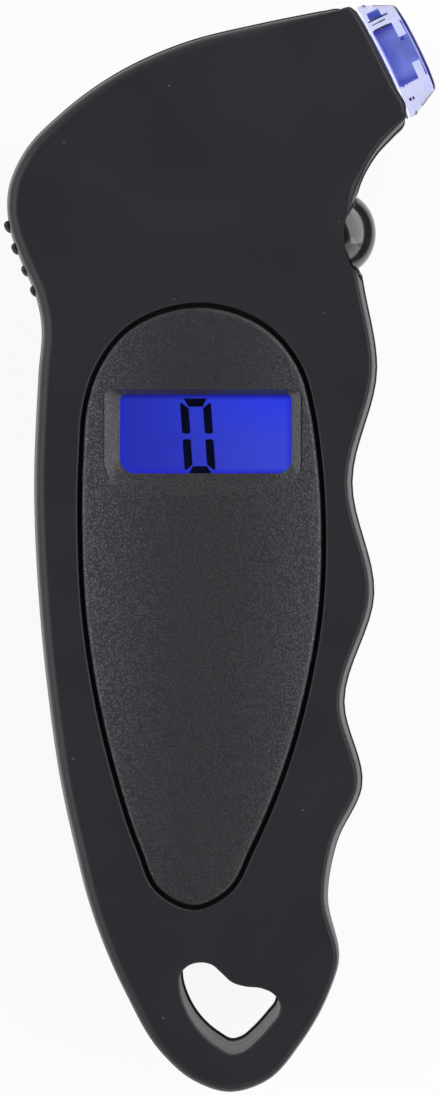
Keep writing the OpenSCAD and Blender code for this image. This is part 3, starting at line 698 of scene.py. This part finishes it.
def carved(bm, joined=(), cut=()):
    """A closed solid after others have been joined to it and then cut from it."""
    base = linked("scratch", meshed("scratch", bm))
    passing = [base]
    for operation, tools in (("UNION", joined), ("DIFFERENCE", cut)):
        for tool in tools:
            passing.append(linked("scratch", meshed("scratch", tool)))
            step = base.modifiers.new("carve", "BOOLEAN")
            step.operation = operation
            step.solver = "MANIFOLD"
            step.object = passing[-1]
    depsgraph = bpy.context.evaluated_depsgraph_get()
    result = bpy.data.meshes.new_from_object(base.evaluated_get(depsgraph))
    solid = bmesh.new()
    solid.from_mesh(result)
    bpy.data.meshes.remove(result)
    for item in passing:
        # The object goes with its mesh
        bpy.data.meshes.remove(item.data)
    if not solid.faces or any(not edge.is_manifold for edge in solid.edges):
        raise RuntimeError("a carved solid is not closed")
    return solid


def finished(name, bm, materials, body, nodes=(), crease=32):
    """Makes a mesh in millimetres a finished piece that rides on its body."""
    bmesh.ops.scale(bm, vec=(MM, MM, MM), verts=bm.verts)
    mesh = meshed(name, bm)
    mesh.shade_smooth()
    mesh.set_sharp_from_angle(angle=math.radians(crease))
    for material in materials:
        mesh.materials.append(material)
    item = linked(name, mesh)
    item.modifiers.new("Flat faces stay flat", "WEIGHTED_NORMAL").keep_sharp = True
    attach(item, body)
    if nodes:
        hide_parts(*nodes)
    return item


def dress(material, *nodes):
    """Gives CAD nodes that keep their shape a finish."""
    for node in nodes:
        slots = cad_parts[node].data.materials
        slots.clear()
        slots.append(material)


def front_inset(p, n, rise, reach):
    """Inset of the front shell at a height above the seam: a wall whose draft keeps it in view
    all round from over the display, then a rounded edge. The edge is sharper along the finger
    grip and toward the head end, and the wall is upright there and on the head's underside."""
    wall = 11.5
    high = max(0, rise - wall) / (SPLIT - wall)
    turn = 1 - math.sqrt(1 - high ** 2)
    end = unit((n.dot(NOZZLE_WAY) - 0.6) / 0.4) * unit((p.y - NECK_Y) / 3)
    grip = max(0, n.x) * unit((NECK_Y - p.y) / 8)
    under = unit((p.y - 44) / 4) * unit(-2.5 * n.y)
    tail = unit((-40 - p.y) / 20)
    lean = (0.022 + 0.03 * grip) * (1 - 0.8 * tail) + p.dot(n) / 700
    draft = lean * min(rise, wall) * (1 - 0.9 * under) * (1 - 0.85 * end)
    share = min(kept(p, -14, 12.5, 0.15), 1 - 0.6 * max(under, grip))
    return draft + turn * (reach * share + 0.7 * max(end, 0.3 * under))


def swell(rise, reach, full):
    """Inset of a superellipse at a height above or below the seam."""
    return reach * (1 - (1 - (rise / SPLIT) ** full) ** (1 / full))


def casing_half(sizes, side):
    """One domed half of the casing, from the parting plane to its flat face."""
    front = side > 0
    ease = sizes.seam_ease / MM
    rim = grown(smooth(GRIP + HEAD_END, 8), -RIM_IN)
    ways = outward(rim)
    # The front rim stands in from the rear one, but is flush with it on the left and at the tail
    steps = []
    for p, n in zip(rim, ways):
        share = min(1, 1.7 + 1.7 * n.x, (p.y + 52) / 20)
        steps.append(sizes.seam_step / MM * max(0, share) if front else 0)
    loops = []
    for inset, rise in ((ease, 0), (0.3 * ease, 0.3 * ease), (0, ease)):
        rounding = [p - (step + inset) * n for p, n, step in zip(rim, ways, steps)]
        loops.append(lifted(rounding, SPLIT + side * rise))
    for rise in RISES:
        edge = swell(rise, sizes.rear_edge / MM, 2.3)
        scoop = swell(rise, 6.8, 2)
        loop = []
        for p, n, step in zip(rim, ways, steps):
            if front:
                fall = front_inset(p, n, rise, sizes.front_edge / MM)
            else:
                fall = kept(p, -16, 15, 0.15) * (edge + (scoop - edge) * near_button(p))
            loop.append(p - max(step, fall + step * (1 - rise / SPLIT)) * n)
        loops.append(lifted(loop, SPLIT + side * rise))
    return stacked(loops)


def hollow(by, low, high):
    """Space inside the casing, which stops behind the head end."""
    plain = smooth(GRIP + RUN_ON, 4)
    loop = []
    for p, n in zip(plain, outward(plain)):
        q = p - kept(p, 0, 8, 0.2) * (by + 3.4 * near_button(p)) * n
        # The end wall moves a little with the inset, so that nested spaces share no plane
        past = (q - NOZZLE_AT).dot(NOZZLE_WAY) + WALL + 0.03 * by
        loop.append(q - max(0, past) * NOZZLE_WAY)
    return stacked([lifted(loop, low), lifted(loop, high)])


def head_cuts():
    """What both shells leave free for the nozzle, its fitting and the button."""
    return [
        # Neck and collar of the nozzle, and the fitting behind it
        rod(6.05, -3.2, 2, NOZZLE, 96),
        rod(7.15, -4.45, -2.2, NOZZLE, 96),
        rod(6.2, -14, -3.1, NOZZLE),
        # Flange and cap of the button
        rod(6.35, 12.85, 15.2, BUTTON),
        rod(5.78, 14.05, 27, BUTTON, 96),
    ]


def heart_solid(levels):
    """Prism of the heart, grown by a given amount at each height."""
    heart = smooth(HEART, 8)
    return stacked([lifted(grown(heart, by), z) for by, z in levels])


def hole_at_seam(side):
    """Levels of the hang hole at the seam, where a small chamfer opens it."""
    return [(0, SPLIT + side * 0.2), (0.15, SPLIT), (0.15, SPLIT - side * PAST)]


def nub_solids(sizes, side):
    """Thumb nubs of one shell: rows of small domes on the left of the head."""
    radius = sizes.nub_size / MM
    rows = ((1.4, 0.08), (6, 0.14), (12.4, 1.5)) if side > 0 else ((1.8, 0.12), (6, 0.5))
    nubs = []
    for x, y in NUBS:
        for z, sunk in rows:
            bm = bmesh.new()
            place = Matrix.Translation((x + 0.94 * sunk, y + 0.34 * sunk, SPLIT + side * z))
            bmesh.ops.create_uvsphere(bm, u_segments=24, v_segments=16, radius=radius, matrix=place)
            nubs.append(bm)
    return nubs


def egg(grow, steps=8):
    """Line along the groove round the face panel, moved outward."""
    return grown(smooth(EGG, steps), grow)


def along(line, steps, knot):
    """Point of a smooth line, at a knot or part of the way to the next."""
    first = math.floor(knot * steps)
    return line[first % len(line)].lerp(line[(first + 1) % len(line)], knot * steps - first)


def rounded(left, right, low, high, radii, sides, corner=8):
    """Rectangle, counter-clockwise from its lower right corner, with a radius for each corner
    and a number of steps for each side."""
    spots = ((right, low), (right, high), (left, high), (left, low))
    ways = ((-1, 1), (-1, -1), (1, -1), (1, 1))
    arcs = []
    for k, (spot, way, r) in enumerate(zip(spots, ways, radii)):
        middle = Vector(spot) + r * Vector(way)
        arc = []
        for s in range(corner + 1):
            a = math.radians(90 * (k - 1 + s / corner))
            arc.append(middle + r * Vector((math.cos(a), math.sin(a))))
        arcs.append(arc)
    points = []
    for k, arc in enumerate(arcs):
        after = arcs[(k + 1) % 4][0]
        points += arc
        points += [arc[-1].lerp(after, s / sides[k]) for s in range(1, sides[k])]
    return points


def plate(wide, high, radius, bottom, top):
    """Flat plate about the window's middle."""
    loop = rounded(
        WINDOW.x - wide / 2, WINDOW.x + wide / 2, WINDOW.y - high / 2, WINDOW.y + high / 2,
        [radius] * 4, [2] * 4)
    return stacked([lifted(loop, bottom), lifted(loop, top)])


def tail_wedge(lift):
    """Space below the sloped back of the tail."""
    tail, far, deep = 2 * DOOR_END, -84, -20
    steep = (7.5 - LEDGE) / (DOOR_END - tail)
    end = LEDGE + (DOOR_END - far) * steep
    side = [(DOOR_END, deep), (DOOR_END, LEDGE), (far, end), (far, deep)]
    return stacked([[Vector((x, y, z + lift)) for y, z in side] for x in (-50, 50)])


class GAUGE_OT_front_shell(bpy.types.Operator):
    """Models the front shell with its rounded edge, panel pocket and hang hole"""
    bl_idname = "gauge.front_shell"
    bl_label = "Front shell"

    def execute(self, context):
        sizes = context.scene.gauge_casing
        groove = context.scene.gauge_panel.groove / 2 / MM
        edge = sizes.pocket_edge / MM
        hole = sizes.hole_edge / MM
        joined = rods(SCREWS, BOSS, SPLIT + SLACK, ROOF + SINK)
        joined += rods(POSTS, 2, 18.4, ROOF + SINK)
        joined += [heart_solid(((HOLE_WALL, SPLIT + SLACK), (HOLE_WALL, ROOF + SINK)))]
        joined += nub_solids(sizes, 1)
        pocket = [lifted(egg(groove + edge), TOP + PAST)]
        for out, down in quarter(edge, range(0, 91, 30)):
            pocket.append(lifted(egg(groove + out), TOP - down))
        pocket.append(lifted(egg(groove), SEAT))
        hole_levels = [(hole, TOP + PAST)]
        hole_levels += [(out, TOP - down) for out, down in quarter(hole, range(0, 91, 15))]
        hole_levels += hole_at_seam(1)
        # The panel's pocket, the window and the room for the display's frame
        cut = [
            stacked(pocket),
            plate(26.4, 14.6, 3, ROOF - PAST, SEAT + PAST),
            plate(31.5, 19.9, 1, SPLIT - PAST, 23.275),
        ]
        cut += rods(SCREWS, 1.15, SPLIT - PAST, 21, 24)
        cut += rods(POSTS, 0.85, 17.4, 22.1, 24)
        cut += [heart_solid(hole_levels)]
        # The flat front ends in an oval notch over the button
        notch = upright(19.8, 42.3) @ Matrix.Diagonal((2.95, 5.6, 1, 1))
        cut += [rod(1, 14.5, TOP + PAST, notch, 96)]
        cut += head_cuts()
        spaces = [
            hollow(by, SPLIT - PAST, high) for by, high in ((2.2, 20.25), (3.4, 22.95), (5.5, ROOF))
        ]
        shell = carved(carved(casing_half(sizes, 1), cut=spaces), joined, cut)
        look = soft_touch_abs(context.scene.gauge_finishes.casing)
        finished("front_shell_looks", shell, [look], "casing", ["front_shell"])
        return {"FINISHED"}


class GAUGE_OT_rear_shell(bpy.types.Operator):
    """Models the rear shell with its door slot, cell bay and sloped tail"""
    bl_idname = "gauge.rear_shell"
    bl_label = "Rear shell"

    def execute(self, context):
        sizes = context.scene.gauge_casing
        joined = rods(SCREWS, BOSS, 1, SPLIT - SLACK)
        joined += [rod(3.6, 1, seat + 1.2, upright(x, y)) for x, y, seat in SCREWS]
        joined += [block((-16.7, DOOR_END, 1), (10.7, -5, 8.2))]
        joined += [heart_solid(((HOLE_WALL, 2), (HOLE_WALL, SPLIT - SLACK)))]
        joined += nub_solids(sizes, -1)
        cut = [
            tail_wedge(0),
            # Opening and slots of the door
            block((-14.65, DOOR_END - PAST, -PAST), (8.65, -6.35, 1)),
            block((-15.65, DOOR_END - PAST, 0.85), (9.65, -6.35, LEDGE)),
            # Bay of the cell, and room for both contacts
            rod(10.3, 1.8, 6.7, upright(-3, -20), 96),
            block((-6.2, -20, 1.81), (0.2, -9.15, 9.2)),
            block((-5.4, -28.4, 5.5), (-0.6, -27.2, 9.2)),
            # A small lip narrows the hang hole at the back
            heart_solid([
                (-0.3, -PAST), (-0.3, 7.3), (-0.15, 7.35), (0, 7.7), *hole_at_seam(-1)]),
        ]
        for x, y, seat in SCREWS:
            cut += [
                rod(1.4, -PAST, SPLIT + PAST, upright(x, y), 24),
                rod(2.6, -PAST, seat, upright(x, y)),
            ]
        cut += head_cuts()
        spaces = [
            carved(hollow(by, low, SPLIT + PAST), cut=[tail_wedge(WALL)])
            for by, low in ((2.2, 6.75), (3.8, 4.05), (6.2, 2.2))
        ]
        shell = carved(carved(casing_half(sizes, -1), cut=spaces), joined, cut)
        look = bpy.data.materials["abs_soft_touch_black"]
        finished("rear_shell_looks", shell, [look], "casing", ["rear_shell"])
        return {"FINISHED"}


class GAUGE_OT_face_panel(bpy.types.Operator):
    """Models the egg-shaped face panel with its sunken bezel"""
    bl_idname = "gauge.face_panel"
    bl_label = "Face panel"

    def execute(self, context):
        sizes = context.scene.gauge_panel
        groove = sizes.groove / 2 / MM
        edge = sizes.edge / MM
        crown = sizes.crown / MM
        foot = sizes.bezel_foot / MM
        sides = (16, 40, 16, 84)
        corner = 8
        inner = rounded(-13.4, 9.8, 10.2, 20.9, (2, 0.8, 0.8, 2), sides, corner)
        outer = rounded(-15.5, 11, 7.1, 21.6, (4.4, 1.2, 1.2, 4.4), sides, corner)
        # Knots of the egg that the corners and sides of the window lead to
        marks = (-0.4, 0.5, 3.1, 3.8, 10.2, 10.9, 13.2, 14.2, 25.6)
        knots = []
        for k in range(4):
            a, b, c = marks[2 * k:2 * k + 3]
            knots += [a + (b - a) * s / corner for s in range(corner + 1)]
            knots += [b + (c - b) * s / sides[k] for s in range(1, sides[k])]

        def edge_loop(inset):
            """Loop along the panel's outer edge, moved in."""
            steps = 16
            line = egg(-groove - inset, steps)
            return [along(line, steps, knot) for knot in knots]

        def surface(p):
            """Point of the crowned face at a place in plan."""
            y = p.y - 3
            end, full = (29.9, 2.65) if y > 0 else (51.4, 1.76)
            share = min(1, abs(y) / end)
            half = max(1, 16.5 * (1 - share ** full) ** (1 / full))
            dome = max(0, 1 - ((p.x + 2.5) / half) ** 2) * (1 - share ** 4)
            return Vector((p.x, p.y, TOP - SLACK + crown * dome))

        # The foot of the window, its slopes, a fine line on both sides, and the crowned face
        rise = [surface(p) for p in outer]
        slope = []
        for p in inner:
            raised = max(1.6 * min(1, (12.5 - p.y) / 2.3), 0.8 * min(1, (p.x - 8.6) / 1.2), 0)
            slope.append(Vector((p.x, p.y, foot + raised)))
        under = lifted(inner, SEAT + SLACK)
        loops = [under, [p - Vector((0, 0, 0.12)) for p in slope], slope]
        for s in (0.94, 0.6, 0.3, 0.13, 0.03):
            loops.append([a.lerp(b, s) for a, b in zip(rise, slope)])
        for out, deep in ((0.08, 0.16), (0.13, 0.15)):
            loop = []
            for p in grown(outer, out):
                loop.append(surface(p) - Vector((0, 0, deep if 10 < p.y < 21.2 else SLACK)))
            loops.append(loop)
        brim = grown(outer, 0.2)
        top_edge = edge_loop(edge)
        for s in (0, 0.1, 0.25, 0.4, 0.55, 0.7, 0.85, 0.95, 1):
            loops.append([surface(p.lerp(q, s)) for p, q in zip(brim, top_edge)])
        for inset, down in quarter(edge, (25, 50, 72, 90)):
            loops.append(lifted(edge_loop(inset), TOP - SLACK - down))
        loops += [lifted(edge_loop(0), SEAT + SLACK), under]
        bm = bmesh.new()
        loop = first_loop(bm, under)
        for places in loops[1:]:
            loop = next_loop(bm, loop, places)
        bmesh.ops.remove_doubles(bm, verts=bm.verts, dist=MERGE)
        bmesh.ops.recalc_face_normals(bm, faces=bm.faces)
        look = grained_abs(context.scene.gauge_finishes.panel)
        finished("face_panel_looks", bm, [look], "casing", ["face_panel"], crease=50)
        return {"FINISHED"}


class GAUGE_OT_display(bpy.types.Operator):
    """Finishes the lens and the backlit glass, and models the digit"""
    bl_idname = "gauge.display"
    bl_label = "Display"

    def execute(self, context):
        sizes = context.scene.gauge_display
        colours = context.scene.gauge_finishes
        dress(clear_acrylic(), "display_lens")
        dress(backlit_display(colours.display_dim, colours.display_bright), "lcd_panel")
        # Half the width and height, the stroke and the gap of the digit
        w = sizes.digit_width / MM / 2
        h = sizes.digit_height / MM / 2
        t = sizes.stroke / MM
        gap = sizes.gap / MM
        top_bar = [(0.53 - w, h), (w - 0.53, h), (w - t - 0.02, h - t), (t + 0.02 - w, h - t)]
        side_bar = [
            (-w, h - 0.75), (0.22 - w, h - 0.58), (t - w, h - t - 0.22), (t - w, gap + 0.15),
            (0.45 * t - w, gap), (-w, gap + 0.2)]
        bars = [[(x * p, y * q) for p, q in side_bar] for x in (1, -1) for y in (1, -1)]
        bars += [top_bar, [(p, -q) for p, q in top_bar]]
        bm = bmesh.new()
        for bar in bars:
            face = bm.faces.new([bm.verts.new((p, q, 0)) for p, q in bar])
            raised = bmesh.ops.extrude_face_region(bm, geom=[face])["geom"]
            verts = [g for g in raised if isinstance(g, bmesh.types.BMVert)]
            bmesh.ops.translate(bm, vec=(0, 0, 0.06), verts=verts)
        bmesh.ops.recalc_face_normals(bm, faces=bm.faces)
        place = Matrix.Translation((-2.9, 15.25, 23.21))
        lean = Matrix()
        lean[0][1] = -0.07
        bmesh.ops.transform(bm, matrix=place @ lean, verts=bm.verts)
        finished("display_digit", bm, [display_ink(colours.segment)], "casing")
        return {"FINISHED"}


class GAUGE_OT_push_button(bpy.types.Operator):
    """Turns the polished push button with its flange and post"""
    bl_idname = "gauge.push_button"
    bl_label = "Push button"

    def execute(self, context):
        # Radius of the dome, where it starts and how far it reaches out
        radius, middle, reach = 5.62, 16.7, 4.85
        profile = [
            (0, 12.35), (1.4, 12.35), (1.5, 12.45), (1.5, 13.85), (6, 13.85), (6.1, 13.95),
            (6.1, 14.95), (6, 15.05), (radius, 15.05)]
        for turn in range(0, 90, 5):
            a = math.radians(turn)
            profile.append((radius * math.cos(a), middle + reach * math.sin(a)))
        profile.append((0, middle + reach))
        bm = turned(profile, BUTTON)
        look = polished_abs(context.scene.gauge_finishes.button)
        finished("push_button_looks", bm, [look], "button", ["push_button"], crease=40)
        return {"FINISHED"}


class GAUGE_OT_nozzle(bpy.types.Operator):
    """Turns the clear nozzle, its bore with painted glow, shade and highlights, and the rubber seal
    """
    bl_idname = "gauge.nozzle"
    bl_label = "Nozzle"

    def execute(self, context):
        colours = context.scene.gauge_finishes
        profile = [
            (4.35, 4.6), (5.75, 4.6), (6.2, 4.52), (6.34, 4.45), (6.64, 4.1), (6.7, 4), (6.82, 3.7),
            (8.2, 0.95), (8.38, 0.75), (8.4, 0.6), (8.4, -0.5), (8.4, -0.75), (8.3, -0.8),
            (5.9, -0.8), (5.9, -2.35), (7, -2.35), (7, -4.15), (5.9, -4.15), (5.9, -9.5),
            (4.9, -9.5), (4.9, -0.4), (4.1, -0.4), (4.1, 0), (4.1, 3.95), (4.1, 4.3), (4.2, 4.5)]
        bm = turned(profile, Matrix())
        # The far half of the bore gets a painted glow, deep blue as painted shade toward its sides;
        # the dome's rim gets a painted dark line and the flange's edge a painted highlight
        for face in bm.faces:
            c = face.calc_center_median()
            r = math.hypot(c.x, c.y)
            if r < 4.12 and 0 < c.z < 3.95 and c.x < 0.5 and abs(c.y) < 3.75:
                face.material_index = PAINTED_GLOW if abs(c.y) < 3.3 else PAINTED_DEEP_BLUE
            elif r > 6.4 and 4.12 < c.z < 4.44:
                face.material_index = PAINTED_DARK_LINE
            elif r > 8.35 and -0.75 < c.z < -0.5:
                face.material_index = PAINTED_HIGHLIGHT
        bmesh.ops.transform(bm, matrix=NOZZLE, verts=bm.verts)
        # A pale block with painted glow and painted dark lines next to it, a deep blue mark with
        # painted glow, and pads with painted highlights beside the bore
        inserts = [
            ((0.5, 5.3, -0.6), (1.8, 6.2, 0.6), PAINTED_PALE_GLOW),
            ((0.2, 5.1, -1), (2.7, 5.25, 1), PAINTED_DARK_LINE),
            ((0.5, 4.6, -1), (2, 4.72, 1), PAINTED_DARK_LINE),
            ((0.5, -5.65, -0.5), (0.85, -5.4, 0.5), PAINTED_DARK_LINE),
            ((2.65, 1.2, 4.25), (3.25, 1.7, 4.6), PAINTED_DEEP_BLUE),
        ]
        for low, high in ((1.8, 4.4), (-4.4, -2)):
            for deep in (4.25, -4.7):
                inserts.append(((2.6, low, deep), (3.75, high, deep + 0.45), PAINTED_HIGHLIGHT))
        for low, high, index in inserts:
            low, high = Vector(low), Vector(high)
            place = HEAD @ Matrix.Translation((low + high) / 2) @ Matrix.Diagonal((*(high - low), 1))
            made = bmesh.ops.create_cube(bm, size=1, matrix=place)["verts"]
            edges = list({edge for vert in made for edge in vert.link_edges})
            for face in {face for vert in made for face in vert.link_faces}:
                face.material_index = index
            bmesh.ops.bevel(
                bm, geom=edges, offset=0.04, affect="EDGES", segments=2, profile=0.5, material=-1)
        # The clear tint, the bore's painted glow, painted dark lines, painted highlights, and pale
        # and deep blue with painted glow
        looks = [
            tinted_polycarbonate(colours.nozzle),
            lit_polycarbonate(colours.bore),
            plain_moulding("polycarbonate_painted_dark_line", "#1c1e5c", 0.3, 0.3),
            plain_moulding("polycarbonate_painted_highlight", "#e2e6f8", 0.5, 0.3, 0.5),
            plain_moulding("polycarbonate_pale_painted_glow", "#5664c4", 0.4, 0.3, 0.25),
            plain_moulding("polycarbonate_deep_painted_glow", "#3a42a8", 0.4, 0.3, 0.3),
        ]
        finished("nozzle_looks", bm, looks, "casing", ["nozzle"], crease=40)
        seal = turned([
            (2.2, -2.9), (4.85, -3), (4.85, -0.55), (4.7, -0.42), (3.3, -0.4), (2.9, -0.55),
            (2.5, -0.9), (2.2, -1.5)], NOZZLE)
        rubber = plain_moulding("nitrile_rubber_black", "#1b1b1b", 0.75, 0.15)
        finished("valve_seal_looks", seal, [rubber], "casing", ["valve_seal"])
        return {"FINISHED"}


class GAUGE_OT_battery_door(bpy.types.Operator):
    """Models the sliding battery door with its tongues and grip slots"""
    bl_idname = "gauge.battery_door"
    bl_label = "Battery door"

    def execute(self, context):
        base = block((-14.5, DOOR_END, 0), (8.5, -6.5, 1.8), 0.25)
        tongues = [block((-15.5, DOOR_END, 1), (9.5, -6.5, 1.79), 0.1)]
        slots = []
        for i in range(4):
            y = -33.5 + 1.8 * i
            slots.append(block((-9, y - 0.4, -0.5), (3, y + 0.4, 0.5), 0.2))
        door = carved(base, tongues, slots)
        look = bpy.data.materials["abs_soft_touch_black"]
        finished("battery_door_looks", door, [look], "door", ["battery_door"], crease=40)
        return {"FINISHED"}


class GAUGE_OT_inside(bpy.types.Operator):
    """Finishes the electronics, the air line, the cell and the screws"""
    bl_idname = "gauge.inside"
    bl_label = "Inside"

    def execute(self, context):
        # Name, colour, roughness, grain in millimetres and glow of each moulding
        for *look, nodes in (
            ("pom_white", "#e4e3de", 0.45, 0.2, 0, ["lcd_frame", "switch_plunger"]),
            ("acrylic_frosted_lit", "#6d7cf0", 0.5, 0.3, 0.4, ["backlight_guide"]),
            ("led_package_ivory", "#ece6c8", 0.3, 0.2, 0.6, ["backlight_leds"]),
            ("epoxy_black_gloss", "#121214", 0.15, 0.5, 0, ["chip_blob"]),
            ("alumina_tan", "#a58c66", 0.6, 0.1, 0, ["board_parts"]),
            ("pbt_black", "#26262a", 0.5, 0.15, 0, ["pressure_sensor", "button_switch"]),
            ("silicone_milky", "#d8d8d2", 0.5, 0.3, 0, ["air_tube"]),
            ("epoxy_led_blue", "#8fa0ff", 0.1, 0.4, 0.8, ["nozzle_led"]),
            ("pvc_red", "#b01a1a", 0.4, 0.2, 0, ["led_wires"]),
        ):
            dress(plain_moulding(*look), *nodes)
        # Name, colour, roughness and pitch of the lines of each metal
        for *look, nodes in (
            ("steel_drawn", "#c9c9c7", 0.28, 0.15, ["timing_crystal", "coin_cell"]),
            ("brass_turned", "#c9a45a", 0.25, 0.1, ["valve_pin", "air_fitting"]),
            ("nickel_plated_spring", "#cbc6b8", 0.3, 0.12, ["positive_contact", "negative_contact"]),
            ("zinc_plated_steel", "#9ea0a3", 0.35, 0.1, ["case_screws", "board_screws"]),
        ):
            dress(worked_metal(*look), *nodes)
        dress(layered_rubber(), "zebra_strips")
        dress(solder_mask(), "circuit_board")
        return {"FINISHED"}


class GAUGE_OT_stage(bpy.types.Operator):
    """Sets the pale floor, the soft lights and the camera over the display"""
    bl_idname = "gauge.stage"
    bl_label = "Stage"

    def execute(self, context):
        scene = context.scene
        scene.view_settings.view_transform = "Standard"
        bm = bmesh.new()
        bmesh.ops.create_grid(bm, x_segments=2, y_segments=2, size=2)
        bmesh.ops.translate(bm, vec=(0, 0, -0.2 * MM), verts=bm.verts)
        floor = linked("floor", meshed("floor", bm))
        floor.data.materials.append(paper_floor())
        scene.world = studio_world()

        for name, spot, wide, high, power in (
            ("left_softbox", (-0.6, 0.05, 0.3), 0.9, 0.6, 3.5),
            ("upper_right_softbox", (0.49, 0.24, 0.354), 1.3, 0.69, 5.3),
            ("lower_right_softbox", (0.32, -0.41, 0.3), 0.64, 0.58, 1.05),
        ):
            light = bpy.data.lights.new(name, "AREA")
            light.shape = "RECTANGLE"
            light.size = wide
            light.size_y = high
            light.energy = power
            lamp = linked(name, light)
            lamp.location = spot
            lamp.rotation_euler = (-Vector(spot)).to_track_quat("-Z", "Y").to_euler()

        lens = bpy.data.cameras.new("camera")
        lens.sensor_fit = "AUTO"
        lens.sensor_width = SENSOR
        lens.lens = SENSOR * FAR / SEEN
        lens.clip_start = 0.01
        camera = linked("camera", lens)
        camera.location = (0.11 * MM, 0.2 * MM, (FAR + SPLIT) * MM)
        scene.camera = camera
        return {"FINISHED"}


class GAUGE_PT_sidebar(bpy.types.Panel):
    """Lists the steps that make the gauge"""
    bl_idname = "GAUGE_PT_sidebar"
    bl_label = "Tire pressure gauge"
    bl_space_type = "VIEW_3D"
    bl_region_type = "UI"
    bl_category = "Gauge"

    def draw(self, context):
        for step in STEPS:
            self.layout.operator(step.bl_idname)


GROUPS = {
    "gauge_casing": CasingSizes,
    "gauge_panel": PanelSizes,
    "gauge_display": DisplaySizes,
    "gauge_finishes": Finishes,
}
STEPS = (
    GAUGE_OT_front_shell, GAUGE_OT_rear_shell, GAUGE_OT_face_panel, GAUGE_OT_display,
    GAUGE_OT_push_button, GAUGE_OT_nozzle, GAUGE_OT_battery_door, GAUGE_OT_inside, GAUGE_OT_stage,
)


def register():
    for group in (*GROUPS.values(), *STEPS, GAUGE_PT_sidebar):
        bpy.utils.register_class(group)
    for name, group in GROUPS.items():
        setattr(bpy.types.Scene, name, PointerProperty(type=group))


def unregister():
    for name in GROUPS:
        delattr(bpy.types.Scene, name)
    for group in reversed((*GROUPS.values(), *STEPS, GAUGE_PT_sidebar)):
        bpy.utils.unregister_class(group)


def main():
    register()
    for step in STEPS:
        group, name = step.bl_idname.split(".")
        getattr(getattr(bpy.ops, group), name)()


if __name__ == "__main__":
    main()
